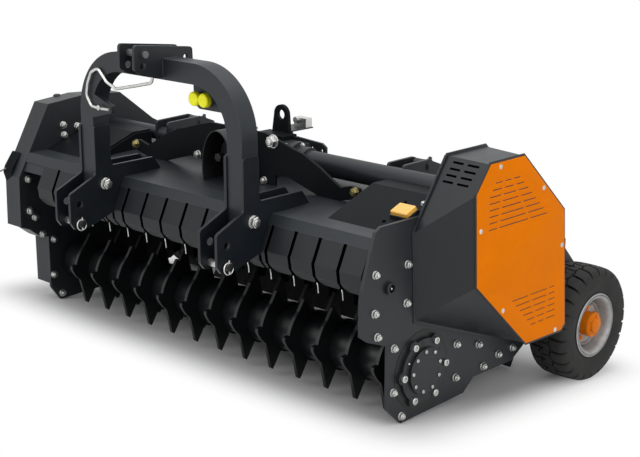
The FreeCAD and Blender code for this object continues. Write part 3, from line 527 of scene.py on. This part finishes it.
# each line is an edge that the slots of a group run between: where it starts, how far it moves
# with each row, and the least that it comes to
panelLook = {
    "slot": 0.0045, "gap": 0.014, "bevel": 0.0006, "face": 0.0025, "screwSeat": 0.0005,
    "darkStrip": {"grown": 1.022, "thick": 0.0042, "bevel": 0.001, "in": 0.0018},
    "upper": {"rows": 8, "top": 0.850, "step": 0.023, "lines": [(0.260, -0.0155, 0.230),
        (0.307, -0.0035, 0), (0.356, 0.0154, 0), (0.401, 0.0247, 0)]},
    "lower": {"rows": 6, "top": 0.400, "step": 0.0232, "lines": [(0.380, 0.0238, 0), (0.485, 0.0109, 0),
        (0.601, -0.0027, 0), (0.643, 0.0018, 0)]},
    "screws": ((0.285, 0.903), (0.546, 0.785), (0.185, 0.695), (0.677, 0.548), (0.328, 0.379),
        (0.659, 0.225)),
    "screw": [(-0.001, 0), (-0.001, 0.009), (0.0011, 0.009), (0.0024, 0.0065), (0.0028, 0.003),
        (0.0022, 0)],
}


def slotSpans(group, gap):
    spans = []
    for row in range(group["rows"]):
        edges = [max(least, first + step * row) for first, step, least in group["lines"]]
        z = group["top"] - group["step"] * row
        for k in range(3):
            start = edges[k] + (gap / 2 if k else 0)
            end = edges[k + 1] - (gap / 2 if k < 2 else 0)
            spans.append((start, end, z))
    return spans


def oblongPoints(start, end, z, width, steps=5):
    r = width / 2
    points = []
    for k in range(steps + 1):
        turn = -math.pi / 2 + math.pi * k / steps
        points.append((end - r + r * math.cos(turn), z + r * math.sin(turn)))
    for k in range(steps + 1):
        turn = math.pi / 2 + math.pi * k / steps
        points.append((start + r + r * math.cos(turn), z + r * math.sin(turn)))
    return points


def sideSheet(outline, holes, thickness, bevel, x):
    # a flat sheet that faces sideways and has its middle at x, filled between its outline and its holes
    curve = bpy.data.curves.new("sheet", "CURVE")
    curve.dimensions = "2D"
    curve.fill_mode = "BOTH"
    curve.extrude = thickness / 2 - bevel
    curve.bevel_depth = bevel
    curve.bevel_resolution = 1
    for points in [outline] + holes:
        spline = curve.splines.new("POLY")
        spline.points.add(len(points) - 1)
        for point, (u, v) in zip(spline.points, points):
            point.co = (u, v, 0, 1)
        spline.use_cyclic_u = True
    holder = bpy.data.objects.new("sheet", curve)
    mesh = bpy.data.meshes.new_from_object(holder)
    bm = bmesh.new()
    bm.from_mesh(mesh)
    bpy.data.objects.remove(holder)
    bpy.data.meshes.remove(mesh)
    bpy.data.curves.remove(curve)
    bmesh.ops.remove_doubles(bm, verts=bm.verts, dist=1e-5)
    bm.transform(Matrix(((0, 0, 1, x), (1, 0, 0, 0), (0, 1, 0, 0), (0, 0, 0, 1))))
    return bm


def middleOf(points):
    return [sum(p[i] for p in points) / len(points) for i in (0, 1)]


def outlineOf(node, x):
    # corners of a flat face that looks sideways at x, in order round its middle
    found = {}
    for p in machinePoints(node):
        if abs(p.x - x) < 1e-4:
            found[(round(p.y, 4), round(p.z, 4))] = (p.y, p.z)
    corners = list(found.values())
    cy, cz = middleOf(corners)
    return sorted(corners, key=lambda p: math.atan2(p[1] - cz, p[0] - cy))


def makePanel():
    # its face lies a little below the frame's own sheet, so that the screw heads end level with that
    low, high = machineBox("drive_cover_panel")
    spans = [s for part in ("upper", "lower") for s in slotSpans(panelLook[part], panelLook["gap"])]
    holes = [oblongPoints(*span, panelLook["slot"]) for span in spans]
    thickness = high.x - low.x - panelLook["face"]
    bm = sideSheet(outlineOf("drive_cover_panel", high.x), holes, thickness, panelLook["bevel"],
                   low.x + thickness / 2)
    pieceFrom(bm, "vented_panel", "orange_panel", stands=("drive_cover_panel",))


def makePanelBorder():
    # dark strip that shows all round between the orange panel and the cover
    low, high = machineBox("drive_cover_panel")
    outline = outlineOf("drive_cover_panel", high.x)
    cy, cz = middleOf(outline)
    darkStrip = panelLook["darkStrip"]
    grown = [(cy + (y - cy) * darkStrip["grown"], cz + (z - cz) * darkStrip["grown"]) for y, z in outline]
    bm = sideSheet(grown, [], darkStrip["thick"], darkStrip["bevel"], low.x - darkStrip["in"])
    pieceFrom(bm, "panel_dark_border", "guard_plastic")


def makePanelScrews():
    face = machineBox("drive_cover_panel")[1].x - panelLook["face"] - panelLook["screwSeat"]
    bm = bmesh.new()
    for y, z in panelLook["screws"]:
        turned(bm, panelLook["screw"], Vector((face, y, z)), right, 20)
    pieceFrom(bm, "panel_screws", "bright_steel")


makePanel()
makePanelBorder()
print("panel done")

# Bolts and screws

plateFace = halfWidth + plate
rightBolts = {
    "size": 0.015, "stud": 0.006,
    "places": [(-0.045, 0.291), (-0.046, 0.129), (-0.001, 0.028), (-0.131, 0.354), (-0.146, 0.440),
        (0.018, 0.440), (-0.144, 0.576), (0.021, 0.578), (0.302, 0.216), (0.433, 0.181), (0.557, 0.109),
        (0.465, 0.086), (0.300, 0.088), (0.648, 0.111)],
}
leftBolts = {
    "size": 0.017, "stud": 0.004,
    "places": [(-0.137, 0.577), (-0.137, 0.436), (-0.113, 0.403), (-0.078, 0.320), (-0.020, 0.285),
        (-0.030, 0.124), (0.009, 0.028), (0.058, 0.787), (0.132, 0.772), (0.061, 0.742), (0.119, 0.728),
        (0.136, 0.654)],
}
coverBolts = {
    "size": 0.010,
    "places": [(-0.150, 0.560), (-0.155, 0.400), (0.010, 0.850), (0.180, 0.875), (0.370, 0.865),
        (0.560, 0.715), (0.610, 0.520), (0.600, 0.330), (0.250, 0.115), (-0.020, 0.115)],
}


def makeSideBolts(name, look, x, axis):
    bm = bmesh.new()
    for y, z in look["places"]:
        addBolt(bm, Vector((x, y, z)), axis, look["size"], look.get("stud", 0.0))
    pieceFrom(bm, name, "bright_steel")


# each row of screws is given by how many, the first one's turn in degrees, the circle and the size
bearingLook = {
    "flange": 0.014, "screws": [(6, 0, 0.114, 0.018), (9, 15, 0.074, 0.009)],
    "seat": [(-0.001, 0.1), (-0.001, 0.146), (0.0015, 0.146), (0.0015, 0.1)],
    "gap": [(-0.001, 0.08), (-0.001, 0.0905), (0.0006, 0.0895), (0.0006, 0.08)],
    "tapped": (35, 95, 205, 325), "tappedCircle": 0.104,
    "tap": [(-0.001, 0.007), (0.0008, 0.007), (0.0008, 0)], "nipplePlace": (-0.087, 0.048),
    "nipple": [(0, 0.006), (0.006, 0.006), (0.006, 0.0045), (0.014, 0.0035), (0.017, 0.004),
        (0.020, 0.002), (0.020, 0)],
}


def makeBearingDetails():
    look = bearingLook
    axis = jointPlace("feed_rotor_spin")
    seat = Vector((plateFace, axis.y, axis.z))
    flange = seat + right * look["flange"]
    cap = Vector((machineBox("feed_bearing")[1].x, axis.y, axis.z))
    bm = bmesh.new()
    for (count, first, reach, size), face in zip(look["screws"], (flange, cap)):
        for k in range(count):
            addSocketScrew(bm, onCircle(face, reach, math.radians(360 / count * k + first)), right, size)
    pieceFrom(bm, "feed_bearing_screws", "bright_steel")
    # painted shade: a black ring for the flange's shadow on the side plate, one for the dark gap round the cap,
    # and black dots for the tapped holes' dark insides
    bm = bmesh.new()
    turned(bm, look["seat"], seat, right, 72)
    turned(bm, look["gap"], flange, right, 72)
    for turn in look["tapped"]:
        turned(bm, look["tap"], onCircle(flange, look["tappedCircle"], math.radians(turn)), right, 18)
    pieceFrom(bm, "feed_bearing_seat", "guard_plastic")
    nipple = seat + Vector((0, *look["nipplePlace"]))
    turnedPiece("grease_nipple", "bright_steel", look["nipple"], nipple, right, 14)


knobLook = {
    "place": (-0.072, 0.514),
    "knob": [(-0.001, 0.022), (0.012, 0.022), (0.014, 0.019), (0.014, 0.01452), (0.002, 0.0132),
        (0.002, 0)],
    "screw": [(0.001, 0.005), (0.012, 0.004), (0.013, 0.003), (0.013, 0)],
}


def makeSideKnob():
    spot = Vector((plateFace, *knobLook["place"]))
    turnedPiece("side_knob", "guard_plastic", knobLook["knob"], spot, right, 40)
    turnedPiece("side_knob_screw", "bright_steel", knobLook["screw"], spot, right, 16)


# places are counted in flaps from the left side plate, and a wire hook hangs in each slit's lower end
flapLook = {
    "across": 17.15, "first": 2.1, "slits": 15, "bar": 0.0022,
    "hook": [(-0.003, -0.158, 0.497), (0.001, -0.160, 0.492), (0.004, -0.161, 0.485),
        (0.005, -0.161, 0.474), (0.0055, -0.160, 0.462)],
    "darkStrip": {"wide": 0.015, "inset": 0.0008, "thick": 0.006, "clear": 0.014, "level": 0.004},
    "front": [(-0.183, 0.570), (-0.176, 0.525), (-0.158, 0.500)],
}


def slitPlaces():
    pitch = 2 * halfWidth / flapLook["across"]
    return [(flapLook["first"] + k) * pitch - halfWidth for k in range(flapLook["slits"])]


def makeFlapHooks():
    bm = bmesh.new()
    for x in slitPlaces():
        addBar(bm, [Vector((x + a, y, z)) for a, y, z in flapLook["hook"]], flapLook["bar"])
    pieceFrom(bm, "flap_hooks", "bright_steel")


def makeFlapSlitShade():
    # black strips in the slits just inside the flaps' face, painted shade for the dark of the slits, left out
    # behind a hitch cheek
    darkStrip = flapLook["darkStrip"]
    points = machinePoints("front_flaps")
    top = max(p.z for p in points)
    ridge = min((p for p in points if p.z > top - darkStrip["level"]), key=lambda p: p.y)
    cheeks = [middle + sign * hitchLook["cheek"] for middle in hitchLook["places"] for sign in (-1, 1)]
    line = [(y + darkStrip["inset"], z) for y, z in [(ridge.y, ridge.z)] + flapLook["front"]]
    bm = bmesh.new()
    for x in slitPlaces():
        if all(abs(x - cheek) >= darkStrip["clear"] for cheek in cheeks):
            addStrip(bm, x - darkStrip["wide"] / 2, darkStrip["wide"], darkStrip["thick"], line)
    pieceFrom(bm, "flap_slit_shade", "guard_plastic", "gap_black")


hitchLook = {
    "places": (-0.395, 0.451), "face": 0.050, "cheek": 0.044, "pin": (-0.342, 0.540), "ring": 0.021,
    "bar": 0.0026, "bolt": (-0.216, 0.678), "size": 0.024,
    "head": [(-0.0165, 0.0145), (-0.0165, 0.021), (-0.024, 0.021), (-0.025, 0.019), (-0.025, 0)],
    "stud": 0.005, "collar": (0.0142, 0.022, 0.0035), "clip": (-0.024, 0.0, 0.026), "clipBar": 0.0032,
    "clipOut": 0.011, "sag": 0.004, "tilt": 0.12,
    "end": [(-0.002, 0.0143), (0.0004, 0.0143), (0.0012, 0.0125), (0.0012, 0)],
}


def makeHitchFittings():
    look = hitchLook
    rings, bolts, ends = bmesh.new(), bmesh.new(), bmesh.new()
    reach = machineBox("lower_pins")[1].x - (look["places"][1] + look["face"])
    for middle in look["places"]:
        for sign in (-1, 1):
            face = middle + sign * look["face"]
            addBolt(bolts, Vector((face, *look["bolt"])), right * sign, look["size"], look["stud"])
            addWasher(ends, Vector((face, *look["pin"])), right * sign, *look["collar"])
        outer = Vector((middle + look["face"], *look["pin"]))
        clip = outer + right * look["clipOut"]
        addRing(rings, clip - (back + up) * look["sag"], right + up * look["tilt"], look["ring"], look["bar"])
        addBar(rings, [clip + up * rise for rise in look["clip"]], look["clipBar"])
        turned(rings, look["head"], outer - right * 2 * look["face"], right, 28)
        turned(ends, [(reach + along, radius) for along, radius in look["end"]], outer, right, 28)
    pieceFrom(rings, "lower_pin_fittings", "bright_steel")
    pieceFrom(bolts, "hitch_bolts", "bright_steel")
    pieceFrom(ends, "lower_pin_collars", "guard_plastic")


topPinLook = {
    "x": 0.028, "face": 0.048, "pin": (-0.340, 1.239), "welds": (0.036, 0.048), "bead": 0.003,
    "deep": 0.072, "tall": 0.060, "edge": 0.004, "washer": (0.0129, 0.021, 0.003),
}


def makeTopPinFittings():
    look = topPinLook
    washers, welds = bmesh.new(), bmesh.new()
    arch = machineBox("headstock_arch")
    for sign in (-1, 1):
        spot = Vector((look["x"] + sign * look["face"], *look["pin"]))
        addWasher(washers, spot, right * sign, *look["washer"])
        for reach in look["welds"]:
            corner = Vector((look["x"] + sign * reach, arch[0].y, arch[1].z))
            addWeld(welds, corner + back * look["edge"], corner + back * look["deep"], look["bead"])
            addWeld(welds, corner - up * look["edge"], corner - up * look["tall"], look["bead"])
    pieceFrom(washers, "top_pin_fittings", "black_steel")
    pieceFrom(welds, "top_bracket_welds", "grey_steel")


# bolts are given by place, size and stud, and each flange by its face, middle, circle and bolt size
gearLook = {
    "front": 0.147, "rear": 0.450, "lid": 0.815, "lidSize": 0.010, "rearSize": 0.012, "round": 6,
    "firstTurn": 20, "stud": 0.002,
    "frontBolts": [(0.233, 0.875, 0.027, 0.008), (-0.203, 0.760, 0.018, 0.005),
        (0.180, 0.715, 0.016, 0.004), (-0.124, 0.715, 0.016, 0.004)],
    "armBolts": [(0.655, 0.748, 0.018, 0.005), (-0.599, 0.748, 0.018, 0.005)],
    "flanges": [(0.182, 0.343, 0.767, 0.057, 0.010), (-0.104, 0.343, 0.755, 0.041, 0.008)],
    "lidBolts": [(0.110, 0.190), (0.110, 0.330), (-0.060, 0.190), (-0.060, 0.330)],
    "rearBolts": [(0.115, 0.700), (-0.060, 0.700), (0.115, 0.790)], "breatherPlace": (0.060, 0.240),
    "breather": [(0, 0.013), (0.012, 0.013), (0.014, 0.011), (0.014, 0.009), (0.022, 0.009),
        (0.023, 0.007), (0.023, 0)],
}


def makeGearboxFittings():
    look = gearLook
    high = machineBox("gearbox")[1]
    bm, yellow = bmesh.new(), bmesh.new()
    for made, row in ((bm, look["frontBolts"]), (yellow, look["armBolts"])):
        for x, z, size, stud in row:
            addBolt(made, Vector((x, look["front"], z)), -back, size, stud)
    for x, y, z, circle, size in look["flanges"]:
        for k in range(look["round"]):
            turn = math.radians(360 / look["round"] * k + look["firstTurn"])
            spot = onCircle(Vector((x, y, z)), circle, turn)
            addBolt(bm, spot, right if x > 0 else -right, size, look["stud"])
    for x, y in look["lidBolts"]:
        addBolt(bm, Vector((x, y, high.z if x < 0 else look["lid"])), up, look["lidSize"])
    for x, z in look["rearBolts"]:
        addBolt(bm, Vector((x, look["rear"], z)), back, look["rearSize"])
    pieceFrom(bm, "gearbox_bolts", "bright_steel")
    pieceFrom(yellow, "arm_bolts", "bright_steel", "yellow_zinc")
    breather = Vector((*look["breatherPlace"], look["lid"]))
    turnedPiece("gearbox_breather", "guard_plastic", look["breather"], breather, up, 20)


# the shaft's end has a chamfer and a ball groove, given by how far along and how much smaller
splineLook = {
    "outer": 0.01745, "root": 0.0147, "teeth": 6, "corners": 8,
    "stations": [(0.0, -0.0025), (0.0025, 0.0), (0.030, 0.0), (0.031, -0.0035), (0.041, -0.0035),
        (0.042, 0.0), (0.071, 0.0)],
    "collar": (0.070, 0.0235, 0.073, 0.024),
}


def makePtoSplines():
    look = splineLook
    low, high = machineBox("pto_stub")
    shaft = jointPlace("pto_spin")
    start = Vector((shaft.x, low.y, shaft.z))
    bm = bmesh.new()
    steps = look["teeth"] * look["corners"]
    rings = []
    for along, shrink in look["stations"]:
        ring = []
        for k in range(steps):
            turn = 2 * math.pi * k / steps
            onTooth = k % look["corners"] < look["corners"] / 2
            radius = look["outer" if onTooth else "root"] + shrink
            outward = right * math.cos(turn) + up * math.sin(turn)
            ring.append(bm.verts.new(start + back * along + outward * radius))
        rings.append(ring)
    bridge(bm, rings)
    length = high.y - low.y
    near, neck, far, wide = look["collar"]
    turned(bm, [(near, 0), (near, neck), (far, wide), (length, wide), (length, 0)], start, back, 40)
    pieceFrom(bm, "pto_splines", "bright_steel", "greased_steel", body="pto_shaft", stands=("pto_stub",))


cylinderLook = {
    "places": (-0.635, 0.663), "length": 0.230, "ports": (0.048, 0.188), "cheek": 0.043,
    "gland": [(-0.024, 0.0248), (-0.023, 0.0285), (-0.003, 0.0285), (0, 0.0255), (0.001, 0.0145)],
    "band": [(0.020, 0.0248), (0.021, 0.027), (0.030, 0.027), (0.031, 0.0248)],
    "port": [(0, 0.011), (0.011, 0.011), (0.013, 0.009), (0.013, 0)],
    "plug": [(0.0125, 0.0075), (0.020, 0.0075), (0.022, 0.006), (0.022, 0)], "portSeat": 0.022,
    "washer": (0.0102, 0.016, 0.0028, 0.0002, 24), "doorPin": Vector((0, 0.022, 0.050)),
}


def makeCylinderFittings():
    look = cylinderLook
    foot = jointPlace("door_cylinder_pivot")
    doorPin = jointPlace("door_hinge") + look["doorPin"]
    stroke = toMachine.to_3x3() @ Vector(joints["door_cylinder_stroke"]["axis"])
    along = pointed(stroke.normalized(), back)
    across = pointed(right.cross(along), up)
    bm, plugs, washers, clips = (bmesh.new() for _ in range(4))
    for x in look["places"]:
        start = Vector((x, foot.y, foot.z))
        turned(bm, look["gland"], start + along * look["length"], along, 40)
        turned(bm, look["band"], start, along, 40)
        for port in look["ports"]:
            spot = start + along * port + across * look["portSeat"]
            turned(bm, look["port"], spot, across, 20)
            turned(plugs, look["plug"], spot, across, 6)
        for made, pin in ((washers, foot), (clips, doorPin)):
            for sign in (-1, 1):
                spot = Vector((x + sign * look["cheek"], pin.y, pin.z))
                addWasher(made, spot, right * sign, *look["washer"])
    pieceFrom(bm, "cylinder_glands", "black_steel", body="door_barrels")
    pieceFrom(plugs, "cylinder_port_plugs", "black_steel", body="door_barrels")
    pieceFrom(washers, "cylinder_pin_washers", "black_steel")
    pieceFrom(clips, "door_pin_washers", "bright_steel", body="door")


rampLook = {
    "edge": (-0.044, 0.680), "grade": 0.368, "lift": 0.0085, "size": 0.010,
    "screws": ((0.975, 0.150), (-0.975, 0.150)), "holes": ((0.908, 0.019), (0.901, 0.139)),
    "hole": [(-0.0002, 0.0065), (0.0006, 0.0065), (0.0006, 0)],
}


def makeRampDetails():
    look = rampLook
    out = Vector((0, -look["grade"], 1)).normalized()

    def onRamp(x, y):
        return Vector((x, y, look["edge"][1] + (y - look["edge"][0]) * look["grade"])) + out * look["lift"]

    bm = bmesh.new()
    for x, y in look["screws"]:
        addBolt(bm, onRamp(x, y), out, look["size"])
    pieceFrom(bm, "ramp_screws", "bright_steel")
    # black discs as painted shade for the ramp's holes
    bm = bmesh.new()
    for x, y in look["holes"]:
        turned(bm, look["hole"], onRamp(x, y), out, 18)
    pieceFrom(bm, "ramp_holes", "guard_plastic", "gap_black")


ventLook = {
    "corner": Vector((1.012, 0.224, 0.925)), "along": Vector((0.182, 0.007, -0.006)).normalized(),
    "down": Vector((0, -0.174, -0.245)).normalized(), "rows": (0.019, 0.044, 0.069, 0.094),
    "slots": ((0.038, 0.080), (0.099, 0.145)), "drift": 0.12, "height": 0.0075, "sunk": 0.002,
    "proud": 0.0009,
}


def makeCoverVents():
    # dark slots on the slanted front of the belt cover, which lie on its skin row by row: black boxes as painted
    # shade for the vents' insides
    look = ventLook
    faces = [p.vertices[:] for p in nodes["drive_cover"].data.polygons]
    skin = BVHTree.FromPolygons(machinePoints("drive_cover"), faces)
    bm = bmesh.new()
    for drop in look["rows"]:
        for reach in look["slots"]:
            spots = [look["corner"] + look["down"] * drop + look["along"] * (far - drop * look["drift"])
                     for far in reach]
            addSlot(bm, [skin.find_nearest(spot)[:2] for spot in spots])
    pieceFrom(bm, "cover_vents", "guard_plastic", "gap_black")


def addSlot(bm, ends):
    (start, out), (end, _) = ends
    out = pointed(out, -back)
    rise = out.cross(end - start).normalized() * ventLook["height"] / 2
    corners = [start - rise, end - rise, end + rise, start + rise]
    bridge(bm, [[bm.verts.new(c - out * ventLook["sunk"]) for c in corners],
                [bm.verts.new(c + out * ventLook["proud"]) for c in corners]])


def hullOf(points):
    # outer corners of a flat set of points, in turn

    def half(row):
        kept = []
        for p in row:
            while len(kept) > 1 and ((kept[-1][0] - kept[-2][0]) * (p[1] - kept[-2][1])
                                     - (kept[-1][1] - kept[-2][1]) * (p[0] - kept[-2][0])) <= 1e-7:
                kept.pop()
            kept.append(p)
        return kept[:-1]

    row = sorted(set((round(y, 4), round(z, 4)) for y, z in points))
    return half(row) + half(row[::-1])


def grownBy(outline, reach):
    grown = []
    for i, corner in enumerate(outline):
        before = (Vector(corner) - Vector(outline[i - 1])).normalized()
        after = (Vector(outline[(i + 1) % len(outline)]) - Vector(corner)).normalized()
        out = Vector((before.y + after.y, -before.x - after.x)).normalized()
        spread = max(0.5, out.dot(Vector((before.y, -before.x))))
        grown.append(tuple(Vector(corner) + out * reach / spread))
    return grown


backPlateLook = {"grown": 0.008, "thick": 0.006, "bevel": 0.001, "out": 0.0005}


def makeCoverBackPlate():
    # the cover's back plate stands a little proud of the folded box all round
    look = backPlateLook
    inner = machineBox("drive_cover")[0].x
    outline = grownBy(hullOf(outlineOf("drive_cover", inner)), look["grown"])
    bm = sideSheet(outline, [], look["thick"], look["bevel"], inner + look["out"])
    pieceFrom(bm, "cover_back_plate", "black_steel", "hitch_black")


latchLook = {
    "side": [(-0.128, 0.678), (-0.143, 0.690), (-0.186, 0.632), (-0.196, 0.604), (-0.183, 0.560)],
    "wide": Vector((0.046, 0.010, -0.004)), "bend": 0.002,
    "pin": [(-0.185, 0.618), (-0.212, 0.612), (-0.232, 0.604)], "pinIn": 0.010, "pinRadius": 0.0035,
    "in": 0.002, "plugPlace": Vector((-1.100, 0.104, 0.893)), "plugAxis": Vector((0, -0.08, 1)),
    "plug": [(-0.004, 0.016), (0.010, 0.016), (0.013, 0.013), (0.013, 0)],
}


def makeCoverLatch():
    # pressed bracket with a pin, on the slanted front of the left cover, and a plug on its top
    look = latchLook
    edge = machineBox("left_cover")[0].x + look["in"]
    bm = bmesh.new()
    near = [Vector((edge, y, z)) for y, z in look["side"]]
    bridge(bm, [[bm.verts.new(c) for c in near], [bm.verts.new(c + look["wide"]) for c in near]])
    bmesh.ops.bevel(bm, geom=bm.edges[:], offset=look["bend"], segments=2, affect="EDGES")
    # the latch takes the darker black as painted shade
    pieceFrom(bm, "cover_latch", "black_steel", "ramp_black")
    bm = bmesh.new()
    addBar(bm, [Vector((edge + look["pinIn"], y, z)) for y, z in look["pin"]], look["pinRadius"])
    pieceFrom(bm, "cover_latch_pin", "bright_steel", "dull_zinc")
    turnedPiece("cover_top_plug", "guard_plastic", look["plug"], look["plugPlace"], look["plugAxis"], 24)


clipProfile = [(0, 0.006), (0.010, 0.006), (0.010, 0.010), (0.016, 0.010), (0.017, 0.008), (0.017, 0)]


def makeHookClip():
    # knob that clamps the shaft hook's wire on its lug
    low, high = machineBox("hook_lug")
    spot = Vector(((low.x + high.x) / 2, low.y, (low.z + high.z) / 2))
    turnedPiece("hook_clip", "bright_steel", clipProfile, spot, -back, 18)


# the strip starts a lap above the door's lower edge and leans in under the machine as it goes down
curtainLook = {
    "low": -0.048, "thick": 0.008, "lap": 0.035, "cuts": 16, "gap": 0.003, "margin": 0.01, "inset": 0.004,
    "lean": (0.0, 0.002, -0.034, -0.082), "edge": 0.012,
}


def makeDoorCurtain():
    # rubber strip under the door, cut into flaps, that stops chips
    look = curtainLook
    low, high = machineBox("rear_door")
    lowest = [p for p in machinePoints("rear_door") if p.z < low.z + look["edge"]]
    face = min(p.y for p in lowest) + look["inset"]
    heights = (low.z + look["lap"], low.z, (low.z + look["low"]) / 2, look["low"])
    line = [(face + lean, z) for lean, z in zip(look["lean"], heights)]
    pitch = (high.x - low.x - 2 * look["margin"]) / look["cuts"]
    bm = bmesh.new()
    for k in range(look["cuts"]):
        x = low.x + look["margin"] + k * pitch + look["gap"] / 2
        addStrip(bm, x, pitch - look["gap"], -look["thick"], line)
    pieceFrom(bm, "door_rubber_strip", "tyre", body="door")


makeSideBolts("side_plate_bolts_right", rightBolts, plateFace, right)
makeSideBolts("side_plate_bolts_left", leftBolts, -halfWidth, right)
makeSideBolts("left_cover_bolts", coverBolts, machineBox("left_cover")[0].x, -right)
makeBearingDetails()
makeSideKnob()
makePanelScrews()
makeFlapHooks()
makeFlapSlitShade()
makeHitchFittings()
makeTopPinFittings()
makeGearboxFittings()
makePtoSplines()
makeCylinderFittings()
makeRampDetails()
makeCoverVents()
makeCoverBackPlate()
makeCoverLatch()
makeHookClip()
makeDoorCurtain()
print("bolts and fittings done")

# Floor, light and camera

# the footprint is a box round the point under the machine, given by half its sides
studio = {
    "floor": 30.0, "clear": (0.0, 0.32), "under": (-0.07, 0.2, 0.0), "footprint": (1.09, 0.55, 0.0),
    "ambient": 0.48, "colour": (0.8, 0.8, 0.8), "rough": 0.9,
}
lamps = {
    "top": {"place": (0.5, -0.5, 4.2), "aim": (0, 0.3, 0.4), "size": 4.0, "power": 110},
    "front": {"place": (-1.5, -5.0, 2.6), "aim": (0, 0.3, 0.5), "size": 3.0, "power": 56},
    "side": {"place": (5.5, -0.8, 2.4), "aim": (0.6, 0.3, 0.5), "size": 3.0, "power": 55},
}
eye = {"place": (3.855, -3.358, 1.901), "turn": 43.936, "tilt": 15.201, "lens": 75.98}


def seenDirectly(tree):
    # 1 for rays from the camera, a mirror or glass, and 0 for those that only bring light
    path = addNode(tree, "LightPath")
    either = reckon(tree, "MAXIMUM", path.outputs["Is Camera Ray"], path.outputs["Is Glossy Ray"])
    return reckon(tree, "MAXIMUM", either, path.outputs["Is Transmission Ray"])


def makeFloor():
    # pale floor with the shadow near the machine, which clears to white away from its footprint
    bpy.ops.mesh.primitive_plane_add(size=studio["floor"] * 2, location=(0, 0, 0))
    floor = bpy.context.object
    floor.name = "floor"
    material, tree, shader = startMaterial("floor")
    shader.inputs["Base Color"].default_value = (*studio["colour"], 1)
    shader.inputs["Roughness"].default_value = studio["rough"]
    place = addNode(tree, "TexCoord").outputs["Object"]
    centred = reckon(tree, "SUBTRACT", place, studio["under"], kind="VectorMath")
    folded = reckon(tree, "ABSOLUTE", centred, kind="VectorMath")
    outside = reckon(tree, "SUBTRACT", folded, studio["footprint"], kind="VectorMath")
    kept = reckon(tree, "MAXIMUM", outside, (0.0, 0.0, 0.0), kind="VectorMath")
    far = reckon(tree, "LENGTH", kept, kind="VectorMath")
    near, clear = studio["clear"]
    rim = addNode(tree, "MapRange", {"interpolation_type": "SMOOTHSTEP"}, i0=far, i1=near, i2=clear)
    seen = reckon(tree, "MULTIPLY", rim.outputs[0], seenDirectly(tree))
    white = addNode(tree, "Emission", Color=(1, 1, 1, 1), Strength=1.0)
    mixed = addNode(tree, "MixShader", i0=seen, i1=shader.outputs[0], i2=white.outputs[0])
    tree.links.new(mixed.outputs[0], tree.nodes["Material Output"].inputs["Surface"])
    floor.data.materials.append(material)


def makeWorld():
    # white where it is seen, and softer as light
    world = bpy.data.worlds.new("studio")
    bpy.context.scene.world = world
    world.use_nodes = True
    tree = world.node_tree
    lit = tree.nodes["Background"]
    lit.inputs["Color"].default_value = (1, 1, 1, 1)
    lit.inputs["Strength"].default_value = studio["ambient"]
    white = addNode(tree, "Background", Color=(1, 1, 1, 1), Strength=1.0)
    mixed = addNode(tree, "MixShader", i0=seenDirectly(tree), i1=lit.outputs[0], i2=white.outputs[0])
    tree.links.new(mixed.outputs[0], tree.nodes["World Output"].inputs["Surface"])


def makeLamps():
    for name, lamp in lamps.items():
        data = bpy.data.lights.new(name, "AREA")
        data.energy = lamp["power"]
        data.size = lamp["size"]
        light = bpy.data.objects.new(name, data)
        bpy.context.scene.collection.objects.link(light)
        light.location = lamp["place"]
        towards = Vector(lamp["aim"]) - Vector(lamp["place"])
        light.rotation_euler = towards.to_track_quat("-Z", "Y").to_euler()


def makeCamera():
    data = bpy.data.cameras.new("camera")
    data.lens = eye["lens"]
    camera = bpy.data.objects.new("camera", data)
    bpy.context.scene.collection.objects.link(camera)
    turn, tilt = math.radians(eye["turn"]), math.radians(eye["tilt"])
    across = Vector((math.cos(turn), math.sin(turn), 0))
    away = Vector((math.sin(turn) * math.cos(tilt), -math.cos(turn) * math.cos(tilt), math.sin(tilt)))
    upward = away.cross(across)
    pose = Matrix((across, upward, away)).transposed().to_4x4()
    pose.translation = Vector(eye["place"])
    camera.matrix_world = machine @ pose
    bpy.context.scene.camera = camera


makeFloor()
makeWorld()
makeLamps()
makeCamera()
bpy.context.scene.view_settings.view_transform = "Standard"
print("studio done")
